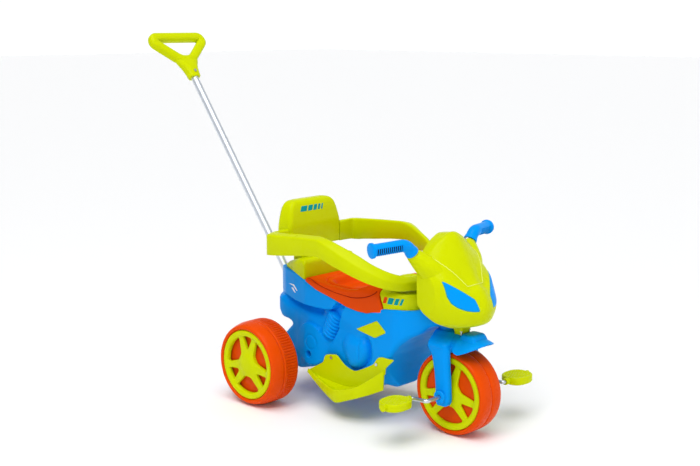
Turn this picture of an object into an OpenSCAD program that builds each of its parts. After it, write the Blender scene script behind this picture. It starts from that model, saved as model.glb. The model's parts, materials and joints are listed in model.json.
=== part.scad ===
// Child's tricycle with a push handle, a guard ring, fixed footrests and a
// motorcycle-style mask on the steering column. Millimetres.
// Frame: X forwards, Y to the rider's left, Z up. The origin is on the floor
// under the middle of the rear axle.

/* [Wheels] */
// Distance from the rear axle to the front axle
wheelbase = 539; // [530:1:548]
// Radius of the rear wheels
rear_wheel_r = 115; // [112:0.5:118]
// Distance from the middle plane to a rear wheel's outer face
rear_track_half = 241; // [236:1:246]
// Width of a rear wheel
rear_wheel_w = 93; // [86:1:96]
// Radius of the front wheel
front_wheel_r = 109; // [106:0.5:111]
// Width of the front wheel
front_wheel_w = 84; // [80:1:86]

/* [Crank] */
// Distance from the front axle to a pedal pin
crank_r = 48.5; // [44:0.5:52]
// Angle of the right crank arm behind the axle, below the horizontal
crank_deg = 2; // [0:1:10]
// Diameter of the crank rod
crank_d = 10; // [9:0.5:11]
// Distance from the middle plane to a crank arm
arm_y = 125; // [122:1:127]
// Distance from the middle plane to the middle of a pedal
pedal_y = 186; // [184:1:188]

/* [Steering] */
// Backward tilt of the steering column
rake_deg = 13.6; // [13:0.1:14]
// Diameter of the steering column
column_d = 36; // [34:1:38]
// Height of the grips above the floor, at their outer ends
grip_z = 489; // [485:1:493]

/* [Push handle] */
// Backward tilt of the push tube
push_deg = 36.6; // [36:0.1:37]
// Diameter of the push tube
push_d = 22; // [20:1:22]
// Half width of the push grip, to the middle of its corners
push_grip_half = 88; // [80:1:92]

/* [Seat and ring] */
// Height of the seat pan above the floor
pan_z = 322; // [320:1:324]
// Half width of the seat
seat_half = 101; // [98:1:102]
// Width of the guard ring's rail
rail_w = 28; // [26:0.5:29]

/* [Hidden] */

lime = "#cfe00a";
blue = "#1478dc";
orange = "#e8420c";
steel = "#c4c8cc";
nylon = "#e8e8e4";

wall = 3.5;        // moulded shell wall
slip = 0.06;       // radial clearance of a running fit
snug = 0.02;       // radial clearance of a fixed fit
gap = 0.3;         // space between pieces that don't touch
fn = 64;           // true curves
ball = 1.01;       // a bend's ball over its bar's radius

screw_r = 2;
screw_head_r = 4;
screw_hole_r = screw_r + snug;
axle_r = 6;
axle_z = rear_wheel_r;
front_axle = [wheelbase, 0, front_wheel_r];
crank_rod_r = crank_d / 2;
column_r = column_d / 2;
push_r = push_d / 2;

// Unit vector, and a closed outline moved inwards by d (points run anticlockwise)
function unit2(v) = v / norm(v);
function left_of(v) = [-v[1], v[0]];
function inset(p, d) = [
    for (i = [0 : len(p) - 1])
        let (
            before = p[(i + len(p) - 1) % len(p)],
            after = p[(i + 1) % len(p)],
            n1 = left_of(unit2(p[i] - before)),
            n2 = left_of(unit2(after - p[i]))
        )
        p[i] + (n1 + n2) * d / (1 + n1 * n2)
];

// Both halves of an outline that is symmetric about its second axis
function both(p) = concat(
    [for (i = [0 : len(p) - 1]) [p[i][0], -p[i][1]]],
    [for (i = [len(p) - 1 : -1 : 0]) p[i]]
);

// An outline in X and Z, extruded from y0 to y1
module side_slab(outline, y0, y1) {
    translate([0, y1, 0])
        rotate([90, 0, 0])
            linear_extrude(y1 - y0) polygon(outline);
}

// An outline in X and Y, extruded from z0 to z1
module plan_slab(outline, z0, z1) {
    translate([0, 0, z0])
        linear_extrude(z1 - z0) polygon(outline);
}

// An outline in Y and Z, extruded from x0 to x1
module front_slab(outline, x0, x1) {
    translate([x0, 0, 0])
        rotate([90, 0, 90])
            linear_extrude(x1 - x0) polygon(outline);
}

// A cylinder along Y, from y0 to y1
module rod_y(p, r, y0, y1) {
    translate([p[0], y1, p[1]])
        rotate([90, 0, 0])
            cylinder(r = r, h = y1 - y0, $fn = fn);
}

// A round bar between two points
module bar(a, b, r) {
    d = b - a;
    translate(a)
        rotate([0, acos(d[2] / norm(d)), atan2(d[1], d[0])])
            cylinder(r = r, h = norm(d), $fn = fn);
}

// A bar through a list of points, with a ball at each inner corner
module bent_bar(points, r) {
    for (i = [0 : len(points) - 2])
        bar(points[i], points[i + 1], r);
    for (i = [1 : len(points) - 2])
        translate(points[i]) sphere(r = r * ball, $fn = fn);
}

// A closed solid through a list of loops with the same number of points each
module loft(loops, cap = []) {
    n = len(loops[0]);
    m = len(loops);
    first = len(cap) > 0 ? cap : [[for (i = [0 : n - 1]) i]];
    polyhedron(
        points = [for (loop = loops) for (p = loop) p],
        faces = concat(
            first,
            [for (f = first) [for (k = [len(f) - 1 : -1 : 0]) (m - 1) * n + f[k]]],
            [for (j = [0 : m - 2]) for (i = [0 : n - 1]) each [
                [j * n + i, (j + 1) * n + i, j * n + (i + 1) % n],
                [j * n + (i + 1) % n, (j + 1) * n + i, (j + 1) * n + (i + 1) % n]
            ]]
        )
    );
}

// A screw head on a side face at [x, z], its shank pointing to the middle plane
module side_screw(p, y, side, depth) {
    mirror([0, side > 0 ? 1 : 0, 0]) {
        rod_y(p, screw_head_r, -y - 2, -y);
        rod_y(p, screw_r, -y, -y + depth);
    }
}

// ---------------------------------------------------------------- body

top_line = [
    [492, 318], [445, 313], [406, 313], [368, 309], [342, 297], [314, 288], [281, 288],
    [243, 293], [200, 305], [130, 321], [86, 340], [30, 353], [-48, 358]
];
arch_r = 163;
arch = [
    for (a = [186 : -11.8 : 115])
        [wheelbase + arch_r * cos(a), front_wheel_r + arch_r * sin(a)]
];
body_side = concat(
    top_line,
    [
        [-76, 340], [-92, 306], [-86, 280], [-80, 268], [-80, 235], [-45, 208], [-16, 208], [4, 200],
        [-27, 171], [-50, 150], [-58, 120], [-50, 92], [-28, 76], [40, 78], [110, 100],
        [160, 118], [215, 112], [262, 96], [310, 82], [352, 80]
    ],
    arch,
    [[480, 271], [512, 279]]
);
body_plan_half = [
    [-95, 8], [-91, 20], [-82, 38], [-60, 56], [-20, 72], [30, 88], [86, 100],
    [400, 100], [425, 96], [450, 80], [480, 62], [515, 40]
];
body_plan = both(body_plan_half);
// The lower front narrows to a keel, and the lower rear is set in
keel_cut = [[0, 70], [30, 80], [78, 172], [101, 215], [130, 215], [130, 60], [0, 60]];
rear_cut = [[82, 60], [82, 252], [103, 262], [130, 262], [130, 60]];
// Above the fin the tail is narrower
tail_cut = [
    [-88, 0], [-84, -20], [-60, -43], [-44, -56], [-20, -72], [-10, -120], [-120, -120], [-120, 0]
];
fin_z = 268;
module low_cuts(t) {
    for (s = [-1, 1]) {
        front_slab([for (p = keel_cut) [s * (p[0] - (p[0] > 0 ? t : 0)), p[1]]], 238 - t, 600);
        front_slab([for (p = rear_cut) [s * (p[0] - t), p[1] + (p[1] > 100 ? t : 0)]], -120, 176 + t);
        plan_slab([for (p = tail_cut) [p[0] + t, s * (p[1] + 0.7 * t)]], fin_z - t, 500);
    }
}

bulge = [262, 184];
bulge_r = 53;
footrest_holes = [[190, 145], [352, 160]];
// Screws that join the halves: x, z, half width of the body there
body_holes = [[150, 290, 100.2], [420, 285, 96.5], [20, 140, 82], [330, 130, 55]];

module body_form(t) {
    difference() {
        intersection() {
            side_slab(inset(body_side, t), -120, 120);
            plan_slab(inset(body_plan, t), 0, 500);
        }
        low_cuts(t);
    }
    intersection() {
        rod_y(bulge, bulge_r - t, -106 + t, 106 - t);
        translate([0, -200, 60]) cube([600, 400, 400]);
    }
}

module body_cavity() {
    difference() {
        intersection() {
            union() {
                side_slab(inset(body_side, wall), -120, 120);
                side_slab([[-30, 330], [470, 290], [452, 380], [-30, 420]], -120, 120);
            }
            plan_slab(inset(body_plan, wall), 0, 500);
        }
        low_cuts(wall);
    }
    rod_y(bulge, bulge_r - wall, -106 + wall, 106 - wall);
}

// Steering frame: the origin is at the front axle, and Z runs up the column
module on_steering() {
    translate(front_axle) rotate([0, -rake_deg, 0]) children();
}
function steer_point(s) = front_axle + s * [-sin(rake_deg), 0, cos(rake_deg)];

head_low = 168;
head_high = 214;
head_r = 27;
bush_r = 23;
bush_h = 12;

// Push frame: the origin is where the tube leaves the tail, and Z runs up the tube
push_mouth = [-99, 0, 338];
push_foot = -125;
push_top = 652;
socket_r = 14;
socket_top = -45;
module on_push() {
    translate(push_mouth) rotate([0, -push_deg, 0]) children();
}

module body_shell(side) {
    color(blue) difference() {
        union() {
            difference() {
                body_form(0);
                body_cavity();
            }
            rod_y([0, axle_z], 15, -82 + gap, 82 - gap);
            on_steering() translate([0, 0, head_low])
                cylinder(r = head_r, h = head_high - head_low, $fn = fn);
            for (p = footrest_holes) rod_y(p, 9, -100.2, 100.2);
            for (p = body_holes) rod_y(p, 6, 2 - p[2], p[2] - 2);
        }
        translate([-200, side > 0 ? -200 : 0, 0]) cube([900, 200, 500]);
        rod_y([0, axle_z], axle_r + snug, -130, 130);
        on_steering() {
            translate([0, 0, head_low - 1]) cylinder(r = column_r + 1, h = 90, $fn = fn);
            translate([0, 0, head_low - 1]) cylinder(r = bush_r + snug, h = bush_h + 1, $fn = fn);
            translate([0, 0, head_high - bush_h])
                cylinder(r = bush_r + snug, h = bush_h + 30, $fn = fn);
        }
        on_push() {
            translate([0, 0, push_foot - 4 - snug])
                cylinder(r = socket_r + snug, h = socket_top - push_foot + 4.5, $fn = fn);
            translate([0, 0, socket_top - 1]) cylinder(r = push_r + 0.8, h = 120, $fn = fn);
        }
        for (p = footrest_holes) rod_y(p, screw_hole_r, -120, 120);
        for (p = body_holes) {
            rod_y(p, screw_hole_r, -42, 120);
            rod_y(p, screw_head_r + snug, p[2], 120);
        }
        seat_screw_holes();
    }
}
module body_shell_right() { body_shell(-1); }
module body_shell_left() { body_shell(1); }

module body_screws() {
    color(steel)
        for (p = body_holes) side_screw(p, p[2], 1, p[2] + 40);
}

badge = [[277, 240], [344, 228], [382, 249], [350, 275]];
module side_badges() {
    color(lime)
        for (s = [-1, 1])
            side_slab(badge, s > 0 ? 100 : -102.5, s > 0 ? 102.5 : -100);
}

// ---------------------------------------------------------------- seat and covers

seat_side = [
    [86, 340], [130, 321], [200, 305], [243, 293], [281, 288], [314, 288], [342, 297], [367, 308.6],
    [358, 328], [352, 344], [354, 360], [345, 381], [325, 376], [300, 352], [243, 336], [176, 337],
    [127, 343], [88, 349]
];
seat_under = [
    [100, 300], [340, 270], [352, 300], [350, 322], [345, 344], [345, 356], [338, 372], [326, 368],
    [302, 344], [300, pan_z - wall], [140, pan_z - wall], [125, 335], [100, 340]
];
pan_half = 74;
seat_plan = [
    [80, -seat_half], [300, -seat_half], [372, -seat_half + 2],
    [372, seat_half - 2], [300, seat_half], [80, seat_half]
];
pan_outline = [
    [150, -60], [285, -66], [296, -40], [296, 40], [285, 66], [150, 60], [136, 30], [136, -30]
];
module seat_crown_cut() {
    for (s = [0, 1])
        mirror([0, s, 0])
            front_slab([[60, 385], [90, 362], [101, 338], [120, 330], [120, 400], [60, 400]], 296, 380);
}
module seat() {
    color(orange) difference() {
        intersection() {
            side_slab(seat_side, -seat_half, seat_half);
            plan_slab(seat_plan, 250, 420);
        }
        intersection() {
            side_slab(seat_under, -seat_half + wall, seat_half - wall);
            translate([60, -pan_half - 20, 0]) cube([400, 2 * pan_half + 40, 500]);
        }
        plan_slab(pan_outline, pan_z, 420);
        seat_crown_cut();
        seat_screw_holes();
        for (s = [-1, 1])
            translate([seat_screw[0], s * seat_screw[1], seat_screw_z])
                cylinder(r = screw_head_r + snug, h = 20, $fn = fn);
    }
}
seat_screw = [170, 40];
seat_screw_z = pan_z - 1.7;
module seat_screw_holes() {
    for (s = [-1, 1])
        translate([seat_screw[0], s * seat_screw[1], 280])
            cylinder(r = screw_hole_r, h = 100, $fn = fn);
}
// A screw from above, its head resting at a point
module down_screw(p, length) {
    translate(p) cylinder(r = screw_head_r, h = 1.5, $fn = fn);
    translate([p[0], p[1], p[2] - length]) cylinder(r = screw_r, h = length, $fn = fn);
}
module seat_screws() {
    color(steel)
        for (s = [-1, 1])
            down_screw([seat_screw[0], s * seat_screw[1], seat_screw_z], 20);
}

deck_side = [
    [86, 340.2], [84, 384], [80, 391], [66, 394], [40, 390], [-20, 371], [-46, 362], [-48, 358.2], [30, 353.2]
];
deck_plan_half = [[-52, 46], [-46, 52], [-20, 70], [30, 87], [88, 100]];
deck_hollow = [[79, 330], [79, 378], [60, 386], [0, 370], [-36, 358], [-36, 330]];
deck_hollow_half = [[-38, 50], [-20, 62], [30, 81], [80, 92]];
back_low = 416;
back_post = [[-15, 362], [22, 362], [22, back_low + 4], [-15, back_low + 4]];
back_side = [
    [-24, back_low], [27, back_low], [31, 450], [31, 478], [28, 500], [20, 540], [12, 547], [-12, 547],
    [-20, 540], [-24, 500]
];
back_front = [
    [-99, 395], [99, 395], [99, 468], [93, 508], [85, 532], [72, 543], [50, 548], [-50, 548], [-72, 543],
    [-85, 532], [-93, 508], [-99, 468]
];
back_hollow = [
    [-40, back_low + 8], [23, back_low + 8], [26, 455], [26, 478], [22, 498], [14, 532], [-40, 532]
];
// The moulding is open underneath and behind
module backrest() {
    color(lime) difference() {
        union() {
            intersection() {
                side_slab(deck_side, -101, 101);
                plan_slab(both(deck_plan_half), 300, 420);
            }
            side_slab(back_post, -46, 46);
            intersection() {
                side_slab(back_side, -101, 101);
                front_slab(back_front, -100, 100);
            }
        }
        intersection() {
            side_slab(deck_hollow, -101, 101);
            plan_slab(both(deck_hollow_half), 300, 420);
        }
        intersection() {
            side_slab(back_hollow, -101, 101);
            front_slab(inset(back_front, 2 * wall), -100, 100);
        }
        side_slab([[-11, 360], [18, 360], [18, back_low], [-11, back_low]], -42, 42);
        rod_y(ring_end_screw, screw_hole_r, -120, 120);
    }
}

tank_side = [
    [368, 309.2], [406, 313.2], [445, 313.2], [456, 318.3], [456, 340], [446, 352], [410, 355], [388, 366],
    [366, 378], [356, 374], [354.4, 360], [352.4, 344], [358.4, 328]
];
tank_plan_half = [[350, 98], [400, 97], [430, 82], [456, 58]];
tank_front = [
    [-98, 300], [98, 300], [98, 346], [88, 356], [60, 362], [40, 379],
    [-40, 379], [-60, 362], [-88, 356], [-98, 346]
];
module tank_form(t) {
    intersection() {
        side_slab(inset(tank_side, t), -100, 100);
        plan_slab(inset(both(tank_plan_half), t), 300, 400);
        front_slab(inset(tank_front, t), 340, 470);
    }
}
// The moulding is open underneath
module tank_cover() {
    color(lime) difference() {
        tank_form(0);
        tank_form(wall);
        translate([372, -70, 300]) cube([60, 140, 20]);
        translate([ring_post, 0, 300]) cylinder(r = screw_hole_r, h = 100, $fn = fn);
    }
}

// ---------------------------------------------------------------- guard ring

// Rail stations, from the backrest's side to the middle of the front: inner x and y,
// outer x and y, then the heights of the inner crest, the outer edge and the underside
ring_half = [
    [26, 99.4, -14, 99.4, 472, 466, 415],
    [26, 125, -1, 125, 472, 466, 415],
    [26, 146, 9, 149, 473, 467, 414],
    [32, 154, 18, 174, 473, 467, 413],
    [46, 155.5, 32, 182, 474, 468, 414],
    [70, 155.5, 70, 183.5, 476, 470, 418],
    [110, 154.5, 110, 182.5, 479, 473, 423],
    [160, 154.5, 160, 182.5, 482, 476, 430],
    [205, 155, 205, 183, 484, 478, 434],
    [222, 155, 223, 183, 482, 477, 433],
    [240, 153.5, 244, 181, 478, 469, 426],
    [260, 150, 265, 177, 471, 458, 417],
    [290, 143, 298, 170, 459, 443, 405],
    [320, 133, 330, 159, 445, 426, 392],
    [350, 118, 364, 143, 426, 409, 379],
    [380, 97, 398, 118, 409, 391, 367],
    [400, 75, 422, 92, 399, 383, 362],
    [412, 50, 439, 60, 394, 384, 362],
    [417, 26, 445, 30, 392, 382, 361],
    [418, 0, 446, 0, 391, 380, 359]
];
ring_path = concat(
    ring_half,
    [for (i = [len(ring_half) - 2 : -1 : 0])
        let (p = ring_half[i])
        [p[0], -p[1], p[2], -p[3], p[4], p[5], p[6]]]
);
rail_skin = wall / rail_w;
// The rail's section: how far across, which height (4 crest, 5 outer edge, 6 underside), offset
rail_section = [
    [0, 6, 0], [0, 4, -2], [0.08, 4, 0], [0.3, 4, 0], [0.94, 5, 1.5], [1, 5, -1.5], [1, 6, 0],
    [1 - rail_skin, 6, 0], [1 - rail_skin, 5, -4.5], [0.3, 4, -4], [rail_skin, 4, -4], [rail_skin, 6, 0]
];
function ring_station(p) = [
    for (q = rail_section)
        let (across = q[0] * rail_w / 28)
        [p[0] + (p[2] - p[0]) * across, p[1] + (p[3] - p[1]) * across, p[q[1]] + q[2]]
];
rail_cap = [
    [0, 1, 11], [1, 10, 11], [1, 2, 10], [2, 3, 10], [3, 9, 10], [3, 4, 9], [4, 8, 9],
    [4, 5, 8], [5, 7, 8], [5, 6, 7]
];
module ring_sweep() {
    loft([for (i = [len(ring_path) - 1 : -1 : 0]) ring_station(ring_path[i])], rail_cap);
}
// The rail's ends are screwed to the sides of the backrest, and a post to the tank cover
ring_end_screw = [6, 440];
ring_end_t = 4;
ring_post = 432;
ring_seat_z = 384;
module guard_ring() {
    color(lime) difference() {
        union() {
            ring_sweep();
            for (s = [-1, 1])
                side_slab(
                    [[-11.6, 420], [24, 420], [24, 469], [-11.6, 464]],
                    s > 0 ? 99.4 : -99.4 - ring_end_t, s > 0 ? 99.4 + ring_end_t : -99.4
                );
            translate([ring_post - 5, -8, 354.6]) cube([10, 16, ring_seat_z - 354]);
        }
        rod_y(ring_end_screw, screw_hole_r, -120, 120);
        translate([ring_post, 0, 300]) cylinder(r = screw_hole_r, h = 200, $fn = fn);
        translate([ring_post, 0, ring_seat_z]) cylinder(r = screw_head_r + snug, h = 20, $fn = fn);
    }
}
module ring_screws() {
    color(steel) {
        down_screw([ring_post, 0, ring_seat_z], 40);
        for (s = [-1, 1]) side_screw(ring_end_screw, 99.4 + ring_end_t, s, 14);
    }
}

// ---------------------------------------------------------------- footrests

footrest_wall = [
    [99, 92], [143, 81], [185, 77], [235, 75], [262, 79], [300, 89], [326, 99], [356, 123],
    [382, 140], [381, 155], [413, 184], [390, 182], [367, 183],
    [355, 178], [340, 157], [300, 136], [275, 125], [257, 127], [238, 134], [221, 146], [209, 157],
    [176, 152], [164, 146], [159, 127]
];
footrest_y = 100.3;
// Outer edge of the tray: x, distance from the middle plane, top height, bottom height
tray_edge = [
    [101.5, 104, 95.5, 90], [143, 116, 86, 70], [185, 132, 82, 62], [235, 152, 80, 52], [262, 156, 84, 50],
    [300, 152, 94, 68], [326, 148, 104, 76], [356, 124, 128, 84], [380, 105, 150, 96]
];
tray_plan = concat(
    [for (e = tray_edge) [e[0], -e[1]]],
    [[380, -footrest_y - 1.5], [101.5, -footrest_y - 1.5]]
);
// A band between two heights that follow the tray's edge
function tray_band(high, low) = concat(
    [for (e = tray_edge) [e[0], low < 0 ? e[2] + low : e[3]]],
    [for (i = [len(tray_edge) - 1 : -1 : 0]) [tray_edge[i][0], tray_edge[i][2] - high]]
);
floor_t = 4;
skirt_t = 4;
module tray() {
    intersection() {
        plan_slab(tray_plan, 0, 200);
        side_slab(tray_band(0, -floor_t), -200, 0);
    }
    intersection() {
        difference() {
            plan_slab(tray_plan, 0, 200);
            translate([0, skirt_t, -1]) plan_slab(tray_plan, 0, 202);
        }
        side_slab(tray_band(2, 0), -200, 0);
    }
}
module footrest(side) {
    color(lime) mirror([0, side > 0 ? 1 : 0, 0])
        difference() {
            union() {
                side_slab(footrest_wall, -footrest_y - wall, -footrest_y);
                tray();
            }
            for (p = footrest_holes) rod_y(p, screw_hole_r, -130, 130);
        }
}
module footrest_right() { footrest(-1); }
module footrest_left() { footrest(1); }
module footrest_screws() {
    color(steel)
        for (p = footrest_holes) for (s = [-1, 1])
            side_screw(p, footrest_y + wall, s, 30);
}

// ---------------------------------------------------------------- rear wheels

wheel_in = rear_track_half - rear_wheel_w;
module rear_axle() {
    color(steel) rod_y([0, axle_z], axle_r, -rear_track_half + 9, rear_track_half - 9);
}
module axle_spacer(side) {
    color(blue) difference() {
        rod_y([0, axle_z], 12, side > 0 ? 82 : 0.5 - wheel_in, side > 0 ? wheel_in - 0.5 : -82);
        rod_y([0, axle_z], axle_r + snug, -200, 200);
    }
}
module axle_spacer_right() { axle_spacer(-1); }
module axle_spacer_left() { axle_spacer(1); }
module axle_push_nuts() {
    color(steel)
        for (s = [-1, 1])
            difference() {
                rod_y([0, axle_z], 10, s > 0 ? 226.5 : -229.5, s > 0 ? 229.5 : -226.5);
                rod_y([0, axle_z], axle_r + snug, -300, 300);
            }
}

// Turns a profile of [radius, distance from the middle plane] about a wheel's axle
module turned(centre, side, profile) {
    translate(centre)
        rotate([side > 0 ? -90 : 90, 0, 0])
            rotate_extrude($fn = 128) polygon(profile);
}

bore_r = axle_r + slip;
outer_half = [
    [bore_r, 196], [20, 196], [20, 222], [98.5, 222], [99, 234], [103, 233], [106, 227],
    [108.5, 219], [111, 207], [111, 204.2], [rear_wheel_r, 204.2], [rear_wheel_r, 208],
    [rear_wheel_r - 2.5, 222], [rear_wheel_r - 5.5, 232], [rear_wheel_r - 9, 238], [102, 240],
    [97, 239], [95.5, 236], [95.5, 226], [bore_r, 226]
];
inner_half = [
    [bore_r, wheel_in], [24, wheel_in], [24, 156], [94, 156], [97, wheel_in + 2], [106, wheel_in], [112, 152],
    [rear_wheel_r, 158], [rear_wheel_r, 203.8], [111, 203.8], [111, 162], [100, 160],
    [20, 160], [20, 195.6], [bore_r, 195.6]
];
module rear_outer(side) {
    color(orange) turned([0, 0, axle_z], side, outer_half);
}
module rear_inner(side) {
    color(orange) turned([0, 0, axle_z], side, inner_half);
}
module rear_wheel_right_outer() { rear_outer(-1); }
module rear_wheel_right_inner() { rear_inner(-1); }
module rear_wheel_left_outer() { rear_outer(1); }
module rear_wheel_left_inner() { rear_inner(1); }

// Hub cap with three wide and three narrow windows, one narrow window at angle spin
module window(r0, r1, half_deg) {
    intersection() {
        difference() {
            circle(r = r1, $fn = 128);
            circle(r = r0, $fn = 128);
        }
        polygon([[0, 0], 150 * [cos(half_deg), -sin(half_deg)], 150 * [cos(half_deg), sin(half_deg)]]);
    }
}
module cap(centre, side, profile, spin) {
    color(lime) translate(centre)
        rotate([side > 0 ? -90 : 90, 0, 0])
            difference() {
                rotate_extrude($fn = 128) polygon(profile);
                for (k = [0 : 2])
                    rotate(spin + 120 * k) {
                        linear_extrude(400) window(42, 74.5, 15);
                        rotate(60) linear_extrude(400) window(36, 74.5, 26);
                    }
            }
}
rear_cap_profile = [
    [0, 234], [12, 234], [12, 226.3], [28, 226.3], [28, 229], [80, 227], [80, 226.3], [95, 226.3], [95, 238],
    [90, 239.5], [82, 238], [76, 233], [34, 235], [26, 240], [16, 241], [0, 241]
];
module rear_cap_right() { cap([0, 0, axle_z], -1, rear_cap_profile, -90); }
module rear_cap_left() { cap([0, 0, axle_z], 1, rear_cap_profile, 90); }

// ---------------------------------------------------------------- front wheel and crank

half_w = front_wheel_w / 2;
hub_r = 18;
front_half = [
    [crank_rod_r + snug, 0.2], [hub_r, 0.2], [hub_r, 26], [98.5, 26], [98.5, 35], [103, 34],
    [105, 28], [105, 4], [102, 3], [102, 0.2], [front_wheel_r - 4, 0.2], [front_wheel_r - 3, 2],
    [front_wheel_r, 3.5],
    [front_wheel_r, 30], [front_wheel_r - 3, 36], [front_wheel_r - 8, 40], [98, 40], [95.4, 38],
    [95.4, 30], [crank_rod_r + snug, 30]
];
front_cap_profile = [
    [crank_rod_r + snug, 30.3], [hub_r, 30.3], [hub_r, 32], [80, 31], [80, 30.3], [94.8, 30.3], [94.8, 38.5],
    [90, 40], [82, 39], [76, 35], [34, 37], [26, half_w], [crank_rod_r + snug, half_w]
];
module front_half_wheel(side) {
    color(orange) turned(front_axle, side, front_half);
}
module front_wheel_right() { front_half_wheel(-1); }
module front_wheel_left() { front_half_wheel(1); }
module front_cap_right() { cap(front_axle, -1, front_cap_profile, -90); }
module front_cap_left() { cap(front_axle, 1, front_cap_profile, 90); }

pin_end = 233;
function pedal_axis(side) = [
    wheelbase + side * crank_r * cos(crank_deg),
    front_wheel_r + side * crank_r * sin(crank_deg)
];
module crank() {
    right = pedal_axis(-1);
    left = pedal_axis(1);
    color(steel)
        bent_bar([
            [right[0], -pin_end, right[1]], [right[0], -arm_y, right[1]], [wheelbase, -arm_y, front_wheel_r],
            [wheelbase, arm_y, front_wheel_r],
            [left[0], arm_y, left[1]], [left[0], pin_end, left[1]]
        ], crank_rod_r);
}

pedal_len = 70;
pedal_wide = 82;
pedal_h = 20;
module pedal(side) {
    p = pedal_axis(side);
    color(lime) difference() {
        union() {
            translate([p[0], side * pedal_y, p[1] - pedal_h / 2])
                difference() {
                    linear_extrude(pedal_h) intersection() {
                        square([pedal_len, pedal_wide], center = true);
                        circle(r = 45, $fn = 128);
                        translate([5, 0]) circle(r = 42.2, $fn = 128);
                        translate([-5, 0]) circle(r = 42.2, $fn = 128);
                    }
                    for (k = [-2 : 2])
                        translate([-22, k * 12.5 - 1.8, pedal_h - 2]) cube([44, 3.6, 5]);
                }
            rod_y(p, 9, side > 0 ? 131 : -150, side > 0 ? 150 : -131);
        }
        rod_y(p, crank_rod_r + slip, -260, 260);
    }
}
module pedal_right() { pedal(-1); }
module pedal_left() { pedal(1); }
module pedal_nuts() {
    color(lime)
        for (s = [-1, 1])
            difference() {
                rod_y(pedal_axis(s), 9, s > 0 ? 227.6 : -234, s > 0 ? 234 : -227.6);
                rod_y(pedal_axis(s), crank_rod_r + snug, s > 0 ? 100 : -pin_end, s > 0 ? pin_end : -100);
            }
}

// ---------------------------------------------------------------- fork and fender

module head_bush(s) {
    color(nylon) on_steering() translate([0, 0, s])
        difference() {
            cylinder(r = bush_r, h = bush_h, $fn = fn);
            translate([0, 0, -1]) cylinder(r = column_r + slip, h = bush_h + 2, $fn = fn);
        }
}
module head_bush_lower() { head_bush(head_low); }
module head_bush_upper() { head_bush(head_high - bush_h); }

leg_in = 47;
leg_out = 72;
leg_side = [
    [515, 96], [520, 87], [530, 83], [544, 83], [554, 87], [559, 96], [559, 112], [556, 160], [551, 200],
    [552, 226], [540, 238], [505, 240], [486, 236], [484, 226], [500, 205], [508, 170], [515, 120]
];
bush_out = 9;
column_top = 338;
crown_top = 158;
ledge_z = 240;
crown_side = [[488, 224], [540, 224], [540, 238], [505, ledge_z], [488, 236]];
crown_ledge = [[488, 224], [568, 227], [568, ledge_z], [505, ledge_z], [488, 236]];
axle_side = [front_axle[0], front_axle[2]];
module fork() {
    color(blue) difference() {
        union() {
            for (s = [-1, 1])
                intersection() {
                    side_slab(leg_side, s > 0 ? leg_in : -leg_out, s > 0 ? leg_out : -leg_in);
                    translate([0, s * leg_in, 0]) rotate([0, -4, 0])
                        translate([548, 0, 0]) cylinder(r = 32, h = 300, $fn = fn);
                }
            side_slab(crown_ledge, 2 - leg_in, leg_in - 2);
            side_slab(crown_side, -leg_in - 4, leg_in + 4);
            on_steering() {
                translate([0, 0, 140]) cylinder(r = bush_r, h = head_low - 140 - gap, $fn = fn);
                translate([0, 0, 120]) cylinder(r = 30, h = crown_top - 120, $fn = fn);
                translate([0, 0, 125]) cylinder(r = column_r, h = column_top - 125, $fn = fn);
            }
        }
        rod_y(axle_side, bush_out + snug, -100, 100);
        rod_y(axle_side, front_wheel_r + 6, 0.5 - leg_in, leg_in - 0.5);
        fender_screw_holes();
    }
}
module fork_bushes() {
    color(nylon)
        for (s = [0, 1])
            mirror([0, s, 0])
                difference() {
                    union() {
                        rod_y(axle_side, bush_out, leg_in - 2, leg_out + 2);
                        rod_y(axle_side, 13, leg_out + gap, leg_out + 3);
                    }
                    rod_y(axle_side, crank_rod_r + slip, 0, 100);
                }
}

fender_side = [
    [541, 242], [541, 214], [564, 219], [600, 231], [629, 241], [633, 246], [630, 251],
    [606, 256], [594, 262], [590, 271], [552, 273], [541, 266]
];
fender_plan = [
    [540, -44], [561, -44], [563, -58], [590, -57], [620, -42], [634, -16],
    [634, 16], [620, 42], [590, 57], [563, 58], [561, 44], [540, 44]
];
fender_front = [
    [-60, 205], [60, 205], [60, 240], [52, 252], [30, 256], [28, 275],
    [-28, 275], [-30, 256], [-52, 252], [-60, 240]
];
fender_screw = [558, 16];
module fender_screw_holes() {
    for (s = [-1, 1])
        translate([fender_screw[0], s * fender_screw[1], 200])
            cylinder(r = screw_hole_r, h = 100, $fn = fn);
}
module fender() {
    color(blue) difference() {
        intersection() {
            side_slab(fender_side, -60, 60);
            plan_slab(fender_plan, 200, 300);
            front_slab(fender_front, 500, 650);
        }
        rod_y(axle_side, front_wheel_r + 7, -52, 52);
        side_slab([[530, 190], [568.2, 190], [568.2, ledge_z], [530, ledge_z]], -leg_in, leg_in);
        on_steering() translate([0, 0, 100]) cylinder(r = 32, h = 90, $fn = fn);
        for (s = [-1, 1])
            translate([fender_screw[0], s * fender_screw[1], fender_seat_z])
                cylinder(r = screw_head_r + snug, h = 20, $fn = fn);
        fender_screw_holes();
        mask_screw_holes();
    }
}
fender_seat_z = 268;
module fender_screws() {
    color(steel)
        for (s = [-1, 1])
            down_screw([fender_screw[0], s * fender_screw[1], fender_seat_z], 38);
}

// ---------------------------------------------------------------- handlebar

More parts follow.
